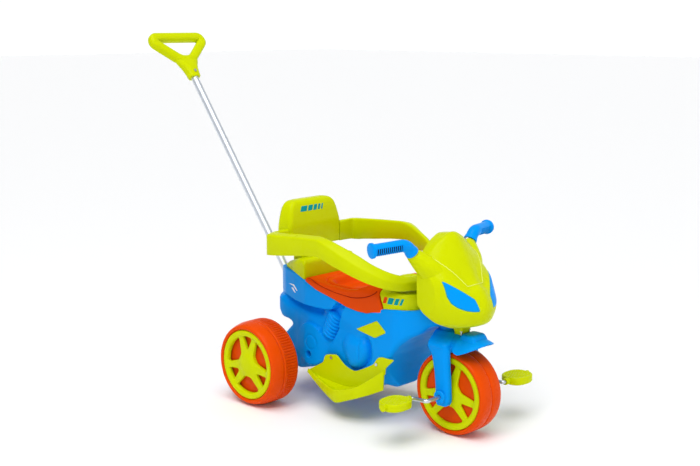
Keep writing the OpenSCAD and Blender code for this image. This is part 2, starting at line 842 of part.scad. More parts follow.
elbow_y = 135;
elbow = [476, elbow_y, grip_z + 5];
grip_end = [447, 231, grip_z];
bar_s = 352;
bar_mid = steer_point(bar_s);
arm_in = [478, 92, 466];
bar_r = 8;
grip_r = 15.5;
function at_side(p, side) = [p[0], side * p[1], p[2]];
function toward(a, b, d) = a + (b - a) * d / norm(b - a);
socket_deep = 18;
function grip_mouth(side) = toward(at_side(elbow, side), at_side(arm_in, side), 26);
module bar_run(r) {
    bent_bar([
        toward(grip_mouth(-1), at_side(elbow, -1), socket_deep), at_side(arm_in, -1), bar_mid, arm_in,
        toward(grip_mouth(1), elbow, socket_deep)
    ], r);
}
module handlebar() {
    color(steel) bar_run(bar_r);
}
cap_h = 26;
bolt_r = 3;
bolt_s = bar_s + bar_r + 1.2;
module column_cap() {
    color(blue) difference() {
        on_steering() translate([0, 0, column_top]) cylinder(r = column_r + 2, h = cap_h, $fn = fn);
        bar_run(bar_r + snug);
        on_steering() translate([0, 0, bar_s]) cylinder(r = bolt_r + snug, h = 50, $fn = fn);
    }
}
module handlebar_bolt() {
    color(steel) on_steering() {
        translate([0, 0, column_top + cap_h]) cylinder(r = 7, h = 5, $fn = 6);
        translate([0, 0, bolt_s]) cylinder(r = bolt_r, h = column_top + cap_h - bolt_s, $fn = fn);
    }
}
module grip(side) {
    mouth = grip_mouth(side);
    color(blue) difference() {
        union() {
            bent_bar([at_side(grip_end, side), at_side(elbow, side), mouth], grip_r);
            bar(at_side(grip_end, side), toward(at_side(grip_end, side), at_side(elbow, side), 5), 19.5);
        }
        bar(
            toward(mouth, at_side(elbow, side), -1),
            toward(mouth, at_side(elbow, side), socket_deep + 0.5),
            bar_r + snug
        );
    }
}
module grip_right() { grip(-1); }
module grip_left() { grip(1); }

// ---------------------------------------------------------------- mask

// Outlines of the mask at five distances from the middle plane, from the
// top of the rear edge over the nose to the bottom of the rear edge
mask_slices = [
    [0, [[472, 508], [500, 512], [520, 509], [556, 452], [588, 396], [603, 383], [621, 356], [629, 331],
        [624, 306], [612, 293], [580, 284], [556, 278], [538, 278]]],
    [30, [[474, 504], [500, 508], [517, 504], [552, 450], [583, 391], [600, 376], [615, 352], [622, 331],
        [617, 306], [605, 293], [578, 285], [556, 280], [538, 280]]],
    [62, [[476, 492], [498, 496], [514, 490], [544, 447], [573, 402], [588, 382], [601, 356], [606, 334],
        [600, 312], [588, 298], [568, 290], [550, 287], [536, 289]]],
    [88, [[480, 474], [496, 477], [514, 468], [532, 444], [558, 410], [568, 390], [575, 364], [577, 346],
        [572, 324], [560, 308], [546, 301], [528, 302], [496, 326]]],
    [100, [[484, 458], [494, 460], [505, 455], [518, 438], [534, 414], [542, 394], [547, 370], [547, 352],
        [542, 336], [534, 326], [522, 319], [508, 319], [486, 338]]]
];
module mask_solid(t, back) {
    slices = concat(
        [for (k = [len(mask_slices) - 1 : -1 : 1]) [-mask_slices[k][0], mask_slices[k][1]]],
        mask_slices
    );
    loft([
        for (s = slices)
            let (
                flat = [for (i = [len(s[1]) - 1 : -1 : 0]) s[1][i]],
                moved = inset(flat, t),
                n = len(moved),
                y = s[0] * (1 - t / 100)
            )
            [for (i = [n - 1 : -1 : 0]) [moved[i][0] - ((i == 0 || i == n - 1) ? back : 0), y, moved[i][1]]]
    ]);
}
sleeve_r = 15;
mask_boss = [592, 362];
// Two screws hold the mask's tab on the fender
mask_screw = [548, 9];
mask_tab_z = 282;
mask_tab = [[534, 264], [540, 264], [540, 274], [556, 274], [556, mask_tab_z], [534, mask_tab_z]];
module mask_screw_holes() {
    for (s = [-1, 1])
        translate([mask_screw[0], s * mask_screw[1], 200])
            cylinder(r = screw_hole_r, h = 200, $fn = fn);
}
module mask() {
    color(lime) difference() {
        union() {
            difference() {
                union() {
                    mask_solid(0, 0);
                    for (s = [-1, 1])
                        bent_bar([
                            toward(at_side(arm_in, s), bar_mid, 12), at_side(arm_in, s),
                            toward(grip_mouth(s), at_side(arm_in, s), gap)
                        ], sleeve_r);
                }
                mask_solid(wall, 60);
            }
            intersection() {
                mask_solid(0, 0);
                translate([mask_boss[0], 0, mask_boss[1]])
                    rotate([0, 90, 0]) cylinder(r = 8, h = 50, $fn = fn);
            }
            side_slab(mask_tab, -18, 18);
        }
        bar_run(bar_r + 1);
        mask_screw_holes();
        for (s = [-1, 1])
            translate([mask_screw[0], s * mask_screw[1], mask_tab_z])
                cylinder(r = screw_head_r + snug, h = 20, $fn = fn);
    }
}
module mask_bracket() {
    color(lime) difference() {
        union() {
            on_steering() translate([0, 0, 262]) cylinder(r = column_r + 5, h = 26, $fn = fn);
            side_slab([[478, 372], [mask_boss[0], 352], [mask_boss[0], 372], [478, 392]], -9, 9);
        }
        on_steering() cylinder(r = column_r + snug, h = 400, $fn = fn);
    }
}
module mask_screws() {
    color(steel)
        for (s = [-1, 1])
            down_screw([mask_screw[0], s * mask_screw[1], mask_tab_z], 22);
}
// Corners of the right headlight: distance from the middle plane, height
light_corners = [[92, 408], [60, 384], [32, 362], [28, 334], [62, 340], [84, 356]];
module headlight(side) {
    color(blue) intersection() {
        difference() {
            mask_solid(-1.5, 0);
            mask_solid(-0.05, 0);
        }
        front_slab([for (p = light_corners) [side * p[0], p[1]]], 545, 660);
    }
}
module headlight_right() { headlight(-1); }
module headlight_left() { headlight(1); }

// ---------------------------------------------------------------- push handle

module push_socket() {
    color(blue) on_push() difference() {
        translate([0, 0, push_foot - 4])
            cylinder(r = socket_r, h = socket_top - push_foot + 4, $fn = fn);
        translate([0, 0, push_foot]) cylinder(r = push_r + slip, h = 200, $fn = fn);
    }
}
module push_tube() {
    color(steel) on_push() translate([0, 0, push_foot + gap]) difference() {
        cylinder(r = push_r, h = push_top + 40 - push_foot - gap, $fn = fn);
        translate([0, 0, -1]) cylinder(r = push_r - 1.2, h = push_top + 50 - push_foot, $fn = fn);
    }
}
loop_deep = 26;
loop_low = push_top + 34;
loop_high = push_top + 149;
loop_outer = [
    [-14, loop_low], [14, loop_low], [30, loop_low + 12], [push_grip_half + 10, loop_high - 16],
    [push_grip_half + 13, loop_high], [push_grip_half + 7, loop_high + 11],
    [push_grip_half - 4, loop_high + 14], [4 - push_grip_half, loop_high + 14],
    [-push_grip_half - 7, loop_high + 11], [-push_grip_half - 13, loop_high],
    [-push_grip_half - 10, loop_high - 16], [-30, loop_low + 12]
];
loop_inner = [
    [-8, loop_low + 30], [8, loop_low + 30], [push_grip_half - 24, loop_high - 20],
    [push_grip_half - 28, loop_high - 12], [28 - push_grip_half, loop_high - 12],
    [24 - push_grip_half, loop_high - 20]
];
module push_grip() {
    color(lime) on_push() difference() {
        union() {
            translate([0, 0, push_top]) cylinder(r1 = push_r + 4, r2 = push_r + 6, h = 50, $fn = fn);
            front_slab(loop_outer, -loop_deep / 2, loop_deep / 2);
        }
        front_slab(loop_inner, -50, 50);
        translate([0, 0, push_top - 1]) cylinder(r = push_r + snug, h = 41 + snug, $fn = fn);
        translate([0, 0, push_top + 16]) rotate([0, 90, 0]) cylinder(r = screw_hole_r, h = 80, $fn = fn);
    }
}
module push_grip_screw() {
    color(steel) on_push() translate([16, 0, push_top + 16]) rotate([0, 90, 0])
        cylinder(r = 4.5, h = 2.5, $fn = fn);
}

body_shell_right();
body_shell_left();
body_screws();
side_badges();
seat();
seat_screws();
backrest();
tank_cover();
guard_ring();
ring_screws();
footrest_right();
footrest_left();
footrest_screws();
rear_axle();
axle_spacer_right();
axle_spacer_left();
axle_push_nuts();
rear_wheel_right_outer();
rear_wheel_right_inner();
rear_cap_right();
rear_wheel_left_outer();
rear_wheel_left_inner();
rear_cap_left();
head_bush_lower();
head_bush_upper();
fork();
fork_bushes();
fender();
fender_screws();
column_cap();
handlebar();
handlebar_bolt();
grip_right();
grip_left();
mask();
mask_bracket();
mask_screws();
headlight_right();
headlight_left();
front_wheel_right();
front_wheel_left();
front_cap_right();
front_cap_left();
crank();
pedal_right();
pedal_left();
pedal_nuts();
push_socket();
push_tube();
push_grip();
push_grip_screw();
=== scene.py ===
"""A child's tricycle: moulded covers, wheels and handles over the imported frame."""
import json
import math
import bmesh
import bpy
import numpy as np
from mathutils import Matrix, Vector
from mathutils.bvhtree import BVHTree
from mathutils.geometry import delaunay_2d_cdt


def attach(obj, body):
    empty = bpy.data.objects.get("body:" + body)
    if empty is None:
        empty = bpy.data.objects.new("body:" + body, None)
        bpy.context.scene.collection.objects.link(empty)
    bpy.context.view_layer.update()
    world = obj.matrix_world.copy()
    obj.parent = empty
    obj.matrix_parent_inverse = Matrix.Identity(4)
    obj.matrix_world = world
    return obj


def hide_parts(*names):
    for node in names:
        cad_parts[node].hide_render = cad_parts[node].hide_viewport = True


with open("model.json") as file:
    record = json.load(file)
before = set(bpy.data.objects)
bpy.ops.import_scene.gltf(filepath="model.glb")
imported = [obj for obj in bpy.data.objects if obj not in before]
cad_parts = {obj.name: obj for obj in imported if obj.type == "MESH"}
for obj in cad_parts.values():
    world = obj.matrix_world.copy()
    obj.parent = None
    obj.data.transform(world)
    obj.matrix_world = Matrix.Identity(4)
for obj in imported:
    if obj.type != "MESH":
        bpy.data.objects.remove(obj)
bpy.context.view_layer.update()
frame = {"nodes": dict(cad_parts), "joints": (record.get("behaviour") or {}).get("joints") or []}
MM = 0.001  # this script's lengths are in millimetres

# ------------------------------------------------------------ places from the frame


def joint_mm(name):
    joint = next(j for j in frame["joints"] if j["name"] == name)
    return Vector(joint["pos_m"]) / MM, Vector(joint["axis"])


REAR_AXLE, _ = joint_mm("rear_wheel_right_spin")
FRONT_AXLE, _ = joint_mm("front_wheel_spin")
STEER_AXIS = joint_mm("steer")[1].normalized()
PEDALS = {-1: joint_mm("pedal_right_spin")[0], 1: joint_mm("pedal_left_spin")[0]}
SIDES = {-1: "right", 1: "left"}

# ------------------------------------------------------------ materials

LIME = (0.58, 0.66, 0.0)
BLUE = (0.0, 0.3, 0.88)
ORANGE = (0.76, 0.068, 0.001)


def new_shader(name, **settings):
    """A material, its nodes and its shader."""
    material = bpy.data.materials.new(name)
    material.use_nodes = True
    shader = material.node_tree.nodes["Principled BSDF"]
    for key, value in settings.items():
        shader.inputs[key.replace("_", " ")].default_value = value
    return material, material.node_tree, shader


def add_noise(tree, scale, detail, stretch=None):
    texture = tree.nodes.new("ShaderNodeTexNoise")
    texture.inputs["Scale"].default_value = scale
    texture.inputs["Detail"].default_value = detail
    vector = tree.nodes.new("ShaderNodeTexCoord").outputs["Object"]
    if stretch:
        mapping = tree.nodes.new("ShaderNodeMapping")
        mapping.inputs["Scale"].default_value = stretch
        tree.links.new(vector, mapping.inputs["Vector"])
        vector = mapping.outputs["Vector"]
    tree.links.new(vector, texture.inputs["Vector"])
    return texture.outputs["Fac"]


def add_range(tree, value, low, high, first=0, last=1):
    """Maps first..last to low..high."""
    node = tree.nodes.new("ShaderNodeMapRange")
    for key, number in {"From Min": first, "From Max": last, "To Min": low, "To Max": high}.items():
        node.inputs[key].default_value = number
    tree.links.new(value, node.inputs["Value"])
    return node


def add_bump(tree, shader, height, strength, depth=0.2 * MM):
    bump = tree.nodes.new("ShaderNodeBump")
    bump.inputs["Strength"].default_value = strength
    bump.inputs["Distance"].default_value = depth
    tree.links.new(height, bump.inputs["Height"])
    tree.links.new(bump.outputs["Normal"], shader.inputs["Normal"])


def plastic(name, colour, rough=0.27, mottle=0.02):
    """Moulded plastic: faint flow marks in its colour, a fine skin and uneven gloss."""
    material, tree, shader = new_shader(
        name, Specular_IOR_Level=0.045, Coat_Weight=0.02, Coat_Roughness=0.1, IOR=1.49)
    tint = tree.nodes.new("ShaderNodeMix")
    tint.data_type = "RGBA"
    tint.inputs["A"].default_value = (*[c * (1 - mottle) for c in colour], 1)
    tint.inputs["B"].default_value = (*[min(1, c * (1 + mottle)) for c in colour], 1)
    tree.links.new(add_noise(tree, 9, 3), tint.inputs["Factor"])
    tree.links.new(tint.outputs["Result"], shader.inputs["Base Color"])
    gloss = add_range(tree, add_noise(tree, 45, 4), rough - 0.06, rough + 0.08)
    tree.links.new(gloss.outputs["Result"], shader.inputs["Roughness"])
    add_bump(tree, shader, add_noise(tree, 900, 2), 0.04)
    return material


def metal(name, colour, rough):
    """Drawn steel with fine lengthwise scratches and a little uneven shine."""
    material, tree, shader = new_shader(name, Metallic=1.0, Base_Color=(*colour, 1))
    drawn = add_noise(tree, 60, 5, stretch=(6, 6, 0.6))
    shine = add_range(tree, drawn, rough - 0.06, rough + 0.1)
    tree.links.new(shine.outputs["Result"], shader.inputs["Roughness"])
    add_bump(tree, shader, drawn, 0.08)
    return material


def seat_plastic():
    """The seat's orange, with the fine wavy grain that is moulded into its pan."""
    material = plastic("seat_orange", ORANGE, rough=0.3)
    tree = material.node_tree
    wave = tree.nodes.new("ShaderNodeTexWave")
    for key, number in {"Scale": 22, "Distortion": 5, "Detail": 2}.items():
        wave.inputs[key].default_value = number
    place = tree.nodes.new("ShaderNodeTexCoord")
    tree.links.new(place.outputs["Object"], wave.inputs["Vector"])
    add_bump(tree, tree.nodes["Principled BSDF"], wave.outputs["Fac"], 0.12, 0.8 * MM)
    return material


MAT = {
    "lime": plastic("lime_plastic", LIME),
    # painted highlight: a lighter lime for the thin bead along the mask's crease
    "lime_light": plastic("lime_highlight_paint", (0.75, 0.82, 0.16), rough=0.2),
    "blue": plastic("blue_plastic", BLUE, rough=0.3),
    "orange": plastic("orange_plastic", ORANGE),
    "seat": seat_plastic(),
    # painted shadow: the dark orange of the thin line along the seat's sides
    "shade": plastic("orange_painted_shadow", (0.3, 0.012, 0.0), rough=0.5),
    "nylon": plastic("nylon", (0.78, 0.78, 0.75), rough=0.5),
    # painted shade: near-black for the inside of the hub's hole and the grips' grooves
    "dark": plastic("painted_shade_black", (0.01, 0.012, 0.02), rough=0.6),
    "teal": plastic("teal_print", (0.0, 0.3, 0.32), rough=0.35),
    "white": plastic("white_print", (0.85, 0.87, 0.9), rough=0.35),
    "steel": metal("steel", (0.62, 0.65, 0.72), 0.3),
    "tube": metal("drawn_tube", (0.74, 0.78, 0.84), 0.46),
}

# ------------------------------------------------------------ mesh tools


def placed(name, data):
    thing = bpy.data.objects.new(name, data)
    bpy.context.scene.collection.objects.link(thing)
    return thing


def piece(name, points, faces, paint, body, replaces=(), sharp=38, thick=0):
    """A mesh piece from millimetre points, on its body, with its finish."""
    mesh = bpy.data.meshes.new(name)
    mesh.from_pydata([tuple(c * MM for c in p) for p in points], [], [tuple(f) for f in faces])
    work = bmesh.new()
    work.from_mesh(mesh)
    bmesh.ops.remove_doubles(work, verts=work.verts, dist=1e-6)
    bmesh.ops.recalc_face_normals(work, faces=work.faces)
    for face in work.faces:
        face.smooth = True
    for edge in work.edges:
        edge.smooth = edge.is_manifold and edge.calc_face_angle(0) < math.radians(sharp)
    work.to_mesh(mesh)
    work.free()
    thing = placed(name, mesh)
    mesh.materials.append(MAT[paint])
    if thick:
        shell = thing.modifiers.new("wall", "SOLIDIFY")
        shell.thickness = thick * MM
        shell.offset = -1
    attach(thing, body)
    if replaces:
        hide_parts(*replaces)
    return thing


def grid_faces(rows, columns, closed=False):
    """Quads over rows of points; closed joins each row's end to its start."""
    wide = columns if closed else columns - 1
    quads = []
    for j in range(rows - 1):
        for i in range(wide):
            a, b = j * columns + i, j * columns + (i + 1) % columns
            quads.append((a, b, b + columns, a + columns))
    return quads


def tube_faces(rows, columns):
    """A closed skin: rows of loops with a cap at each end."""
    faces = grid_faces(rows, columns, closed=True)
    faces.append(tuple(range(columns))[::-1])
    faces.append(tuple((rows - 1) * columns + i for i in range(columns)))
    return faces


def strip(row, below):
    """Quads between two loops of points with the same count."""
    n = len(row)
    return [(row[i], row[(i + 1) % n], below[(i + 1) % n], below[i]) for i in range(n)]


def loop_faces(rows, columns):
    """Quads over rows of loops that close on themselves."""
    last = (rows - 1) * columns
    return grid_faces(rows, columns, closed=True) + strip(range(last, last + columns), range(columns))


def spline(points, steps, closed=False):
    """A smooth line through points, with steps pieces between two of them."""
    p = np.array(points, float)
    n = len(p)
    result = []
    for i in range(n if closed else n - 1):
        if closed:
            a, b, c, d = p[(i - 1) % n], p[i], p[(i + 1) % n], p[(i + 2) % n]
        else:
            a, b, c, d = p[max(i - 1, 0)], p[i], p[i + 1], p[min(i + 2, n - 1)]
        for k in range(steps):
            t = k / steps
            bend, twist = 2 * a - 5 * b + 4 * c - d, 3 * b - a - 3 * c + d
            result.append(0.5 * (2 * b + (c - a) * t + bend * t * t + twist * t ** 3))
    if not closed:
        result.append(p[-1])
    return np.array(result)


def rounded(points, radius, steps=5, closed=True):
    """An outline with each corner turned into a soft arc."""
    p = [np.array(q, float) for q in points]
    result = []
    for i, corner in enumerate(p):
        if not closed and i in (0, len(p) - 1):
            result.append(corner)
            continue
        before, after = p[i - 1] - corner, p[(i + 1) % len(p)] - corner
        cut = min(radius, 0.48 * np.linalg.norm(before), 0.48 * np.linalg.norm(after))
        a = corner + before / np.linalg.norm(before) * cut
        b = corner + after / np.linalg.norm(after) * cut
        for k in range(steps + 1):
            t = k / steps
            result.append((1 - t) ** 2 * a + 2 * t * (1 - t) * corner + t * t * b)
    return np.array(result)


def smooth(x, low, high):
    """0 below low, 1 above high, and a smooth step between."""
    t = np.clip((np.asarray(x, float) - low) / (high - low), 0, 1)
    return t * t * (3 - 2 * t)


def eased(x, xs, ys, spread=10):
    """Linear interpolation with its corners worn round over spread."""
    x = np.asarray(x, float)
    shifts = np.linspace(-spread, spread, 9)
    return sum(np.interp(x + s, xs, ys) for s in shifts) / len(shifts)


def sweep(path, radii, sides=32, ring=None, closed=False):
    """Loops of points round a path; ring gives a loop's own shape at a step."""
    path = [Vector(p) for p in path]
    rows = []
    normal = before = None
    for i, p in enumerate(path):
        if closed:
            along = (path[(i + 1) % len(path)] - path[i - 1]).normalized()
        else:
            along = (path[min(i + 1, len(path) - 1)] - path[max(i - 1, 0)]).normalized()
        if before and along.dot(before) < 0:
            along = -along
        before = along
        if normal is None:
            normal = along.orthogonal().normalized()
        normal = (normal - along * normal.dot(along)).normalized()
        other = along.cross(normal)
        for k in range(sides):
            a = 2 * math.pi * k / sides
            out = normal * math.cos(a) + other * math.sin(a)
            r = radii[i] if ring is None else ring(i, out, radii[i])
            rows.append(p + out * r)
    return rows, loop_faces(len(path), sides) if closed else tube_faces(len(path), sides)


def lathe(centre, side, profile, turns=96, shape=None):
    """A profile of (radius, distance from the middle plane) turned round a Y axle."""
    points = []
    for k in range(turns):
        a = 2 * math.pi * k / turns
        for r, y in profile:
            if shape:
                r = shape(r, y, a)
            points.append((centre[0] + r * math.cos(a), side * y, centre[2] + r * math.sin(a)))
    n = len(profile)
    faces = []
    for k in range(turns):
        for i in range(n - 1):
            a, b = k * n + i, ((k + 1) % turns) * n + i
            faces.append((a, a + 1, b + 1, b))
    return points, faces


def in_polygon(q, loop):
    x, y = q[:, 0][:, None], q[:, 1][:, None]
    x0, y0 = loop[:, 0], loop[:, 1]
    x1, y1 = np.roll(x0, -1), np.roll(y0, -1)
    crosses = ((y0 > y) != (y1 > y)) & (x < (x1 - x0) * (y - y0) / np.where(y1 == y0, 1e-9, y1 - y0) + x0)
    return crosses.sum(1) % 2 == 1


def distance(q, loop, closed=True):
    """Distance from points to a line of segments."""
    a = loop if closed else loop[:-1]
    b = np.roll(loop, -1, axis=0) if closed else loop[1:]
    best = np.full(len(q), 1e9)
    for s, e in zip(a, b):
        d = e - s
        t = np.clip(((q - s) @ d) / max(d @ d, 1e-9), 0, 1)
        best = np.minimum(best, np.linalg.norm(q - s - t[:, None] * d, axis=1))
    return best


def resample(loop, step, closed=True):
    p = np.array(loop, float)
    if closed:
        p = np.vstack([p, p[:1]])
    length = np.concatenate([[0], np.cumsum(np.linalg.norm(np.diff(p, axis=0), axis=1))])
    count = max(3, int(round(length[-1] / step)))
    at = np.linspace(0, length[-1], count + 1)
    if closed:
        at = at[:-1]
    return np.stack([np.interp(at, length, p[:, 0]), np.interp(at, length, p[:, 1])], 1)


def at_y(uv, y):
    """Points of a side view, at a distance from the middle plane."""
    return np.stack([uv[:, 0], np.broadcast_to(y, len(uv)), uv[:, 1]], 1)


def squarish(a, power):
    """A point of a rounded square: a circle's at power 1, a sharper square's at less."""
    u, v = math.cos(a), math.sin(a)
    return math.copysign(abs(u) ** power, u), math.copysign(abs(v) ** power, v)


def area_sign(loop):
    x, y = loop[:, 0], loop[:, 1]
    return np.sign(np.sum(x * np.roll(y, -1) - np.roll(x, -1) * y))


def across(along):
    """Unit vectors to the left of these."""
    return np.stack([-along[:, 1], along[:, 0]], 1) / np.linalg.norm(along, axis=1)[:, None]


class Sheet:
    """A triangulated flat region, with rows of points along its edges and its features."""

    def __init__(self, outline, step=5, rings=(0.5, 1.5, 3, 6), holes=(), lines=(), spread=1.2):
        loops = [resample(loop, step) for loop in (outline, *holes)]
        self.loops = []
        for i, loop in enumerate(loops):
            wanted = 1 if i == 0 else -1
            self.loops.append(loop if area_sign(loop) == wanted else loop[::-1])
        low, high = self.loops[0].min(0), self.loops[0].max(0)
        extra = []
        for loop in self.loops:
            along = np.roll(loop, -1, axis=0) - np.roll(loop, 1, axis=0)
            inward = across(along)
            for d in rings:
                extra.append((loop + inward * d, 0.93 * d))
        for line in lines:
            line = resample(line, step * 0.8, closed=False)
            along = np.gradient(line, axis=0)
            beside = across(along)
            for d in (-spread, 0, spread):
                extra.append((line + beside * d, rings[-1] * 0.5 if rings else 0.5))
        xs = np.arange(low[0], high[0], step)
        ys = np.arange(low[1], high[1], step * 0.866)
        grid = np.array([(x + (step / 2 if j % 2 else 0), y) for j, y in enumerate(ys) for x in xs])
        kept = []
        for q, need in extra:
            q = q[in_polygon(q, self.loops[0])]
            for hole in self.loops[1:]:
                q = q[~in_polygon(q, hole)]
            kept.append(q[self.edge_distance(q) >= need])
        grid = grid[in_polygon(grid, self.loops[0])]
        for hole in self.loops[1:]:
            grid = grid[~in_polygon(grid, hole)]
        grid = grid[self.edge_distance(grid) > (rings[-1] if rings else 0) + 0.4 * step]
        for line in lines:
            grid = grid[distance(grid, np.array(line, float), closed=False) > spread + 0.5 * step]
        kept.append(grid)
        points = np.vstack(self.loops + kept)
        edges = []
        start = 0
        for loop in self.loops:
            n = len(loop)
            edges += [(start + i, start + (i + 1) % n) for i in range(n)]
            start += n
        out, _, tris, origin, _, _ = delaunay_2d_cdt([Vector(p) for p in points], edges, [], 0, 1e-5)
        self.uv = np.array([[v[0], v[1]] for v in out])
        found = {}
        for new, olds in enumerate(origin):
            for old in olds:
                found[old] = new
        self.rims = []
        start = 0
        for loop in self.loops:
            self.rims.append([found[start + i] for i in range(len(loop))])
            start += len(loop)
        middle = np.array([self.uv[list(t)].mean(0) for t in tris])
        keep = in_polygon(middle, self.loops[0])
        for hole in self.loops[1:]:
            keep &= ~in_polygon(middle, hole)
        self.tris = [tuple(t) for t, k in zip(tris, keep) if k]
        self.edge = self.edge_distance(self.uv)

    def edge_distance(self, q):
        best = np.full(len(q), 1e9)
        for loop in self.loops:
            best = np.minimum(best, distance(q, loop))
        return best

    def mesh(self, top, walls=(), mirror=None):
        """top(uv, edge distance) gives the skin's points. Each wall gives its rims' next row of points.
        mirror(points) gives a second skin, which the last rows join."""
        points = [tuple(p) for p in top(self.uv, self.edge)]
        faces = list(self.tris)
        count = len(points)
        if mirror:
            points += [tuple(p) for p in mirror(np.array(points))]
            faces += [tuple(i + count for i in t[::-1]) for t in self.tris]
        for rim in self.rims:
            row = rim
            for wall in walls:
                below = list(range(len(points), len(points) + len(rim)))
                points += [tuple(p) for p in wall(self.uv[rim], np.array([points[i] for i in row]))]
                faces += strip(row, below)
                row = below
            if mirror:
                faces += strip(row, [i + count for i in rim])
        return points, faces


def edge_round(depth, radius):
    """How far a surface falls at a distance from its edge, for a rounded edge."""
    inside = np.clip(radius - depth, 0, radius)
    return radius - np.sqrt(np.maximum(radius ** 2 - inside ** 2, 0))


def stack(rows, corner_steps=5):
    """Loops of rounded rectangles in plan: z, x0, x1, half width, corner radius."""
    points = []
    for z, x0, x1, half, radius in rows:
        box = rounded([(x0, -half), (x1, -half), (x1, half), (x0, half)], radius, corner_steps)
        points += [(x, y, z) for x, y in box]
    return points, tube_faces(len(rows), 4 * (corner_steps + 1))

# ------------------------------------------------------------ body halves

TOP_LINE = [
    (492, 318), (445, 313), (406, 313), (368, 309), (342, 297), (314, 288), (281, 288),
    (243, 293), (200, 305), (130, 321), (86, 340), (30, 353), (-48, 358),
]
ARCH_R = 163
ARCH = [
    (FRONT_AXLE.x + ARCH_R * math.cos(math.radians(a)), FRONT_AXLE.z + ARCH_R * math.sin(math.radians(a)))
    for a in np.arange(186, 115, -11.8)
]
UNDERSIDE = [
    (-74, 342), (-90, 306), (-86, 280), (-80, 267), (-80, 236), (-46, 208), (-16, 208), (4, 200),
    (-27, 171), (-50, 150), (-58, 120), (-50, 92), (-28, 76), (40, 78), (110, 100), (160, 118),
    (215, 112), (262, 96), (310, 82), (352, 80),
]
DISC = np.array([100.0, 164.0])
DISC_R = 59
BULGE = np.array([262.0, 184.0])
BULGE_R = 53
BULGE_Y, SLIT_X = 106.5, 288
RING, RING_R = (107, 171), 20
HUB_HOLE, HUB_HOLE_R, HUB_HOLE_Y = (97, 136), 10, 76
PANEL_EDGE = [(-88, 290), (-60, 284), (-3, 279), (40, 274), (110, 271), (160, 272), (186, 276)]
CREASE = [(330, 118), (418, 181), (484, 232)]
COIL_TOP, COIL_FOOT = np.array([193.0, 262.0]), np.array([164.0, 200.0])
COIL_LEAN, COIL_Y, COIL_R, COIL_PITCH = 0.47, 81, 24.5, 10.6


def circle(centre, radius, count=48, first=0, last=360):
    angles = np.radians(np.linspace(first, last, count, endpoint=last - first < 360))
    return [(centre[0] + radius * math.cos(a), centre[1] + radius * math.sin(a)) for a in angles]


def top_z(x):
    xs, zs = zip(*TOP_LINE[::-1])
    return np.interp(x, xs, zs)


def plan_width(x, z):
    """Half the body's width, before its reliefs: the tail's fin is wider than the panel below it."""
    upper = eased(
        x, [-92, -84, -74, -60, -44, -20, 30, 86, 400, 425, 450, 480, 515],
        [9, 19, 31, 44, 56, 71, 87, 100, 100, 95, 80, 62, 42], 6)
    fin = np.interp(x, [-82, -79, -58, -20, 30, 86], [36, 40, 59, 73, 88, 100])
    return np.where(x < 40, fin + (upper - fin) * smooth(z, 264, 270), upper)


def recess_depth(x, z):
    """The pocket under the panel's edge, behind the spring relief and round the hub's disc."""
    edge_x, edge_z = zip(*PANEL_EDGE)
    under = eased(x, [*edge_x, 230], [*edge_z, 320], 5) - z
    coil_x = COIL_FOOT[0] + (z - COIL_FOOT[1]) * COIL_LEAN
    behind = smooth(coil_x - x, -27, -22)
    disc = 1 - smooth(np.hypot(x - DISC[0], z - DISC[1]), DISC_R - 2, DISC_R + 2.5)
    front_of_disc = smooth(x, DISC[0], DISC[0] + 25) * smooth(DISC[1] + 45 - z, 0, 30)
    deep = (1 + 19 * smooth(x, -50, 30)) * (1 - 0.35 * smooth(under, 8, 60))
    groove = 17 * np.exp(-((under - 13) / 11) ** 2) * smooth(x, -50, -5) * (1 - smooth(x, 120, 150))
    beside_coil = np.exp(-((x - coil_x + 25) / 3) ** 2) * smooth(z, 200, 212) * smooth(270 - z, 0, 10)
    pocket = (deep + groove) * smooth(under, -1, 2.2) * behind * (1 - disc) * (1 - front_of_disc)
    return pocket + 12 * beside_coil


def with_bulge(width, x, z):
    """The round engine cover that stands out, with a slit, and the gap below it on its right."""
    off = np.hypot(x - BULGE[0], z - BULGE[1])
    right_below = smooth(0.8 * (x - BULGE[0]) - 0.6 * (z - BULGE[1]), -10, 28)
    gap = 16 * (1 - smooth(off, BULGE_R, BULGE_R + 22)) * right_below
    width = width - gap * smooth(245 - z, 0, 30)
    dome = BULGE_Y - edge_round(BULGE_R - off, 17 + 30 * (1 - right_below)) - 4 * (off / BULGE_R) ** 2
    dome = dome - 1.6 * np.exp(-((x - SLIT_X) / 1.8) ** 2) * smooth(32 - np.abs(z - BULGE[1]), 0, 6)
    blend = 0.5 + 9 * (1 - right_below)
    near = np.clip(0.5 + 0.5 * (dome - width) / blend, 0, 1)
    merged = width + (dome - width) * near + blend * near * (1 - near)
    return np.where(off < BULGE_R, merged, width)


def body_half_width(x, z):
    """How far the body's skin stands from the middle plane."""
    width = plan_width(x, z) - recess_depth(x, z)
    # The middle, between the disc and the engine bulge, is set in
    width = width - 9 * smooth(x, 120, 175) * (1 - smooth(x, 215, 300)) * smooth(262 - z, 0, 40)
    ring = np.hypot(x - RING[0], z - RING[1])
    width = with_bulge(width - 1.3 * np.exp(-((ring - RING_R) / 1.6) ** 2), x, z)
    # The lower front narrows to a keel below a crease
    crease = np.interp(x, *zip(*CREASE))
    keel = 99.5 - 68 * np.clip((crease - z) / (crease - 82), 0, 1)
    away = smooth(x, 292, 325)
    return np.minimum(width, keel * away + 200 * (1 - away))


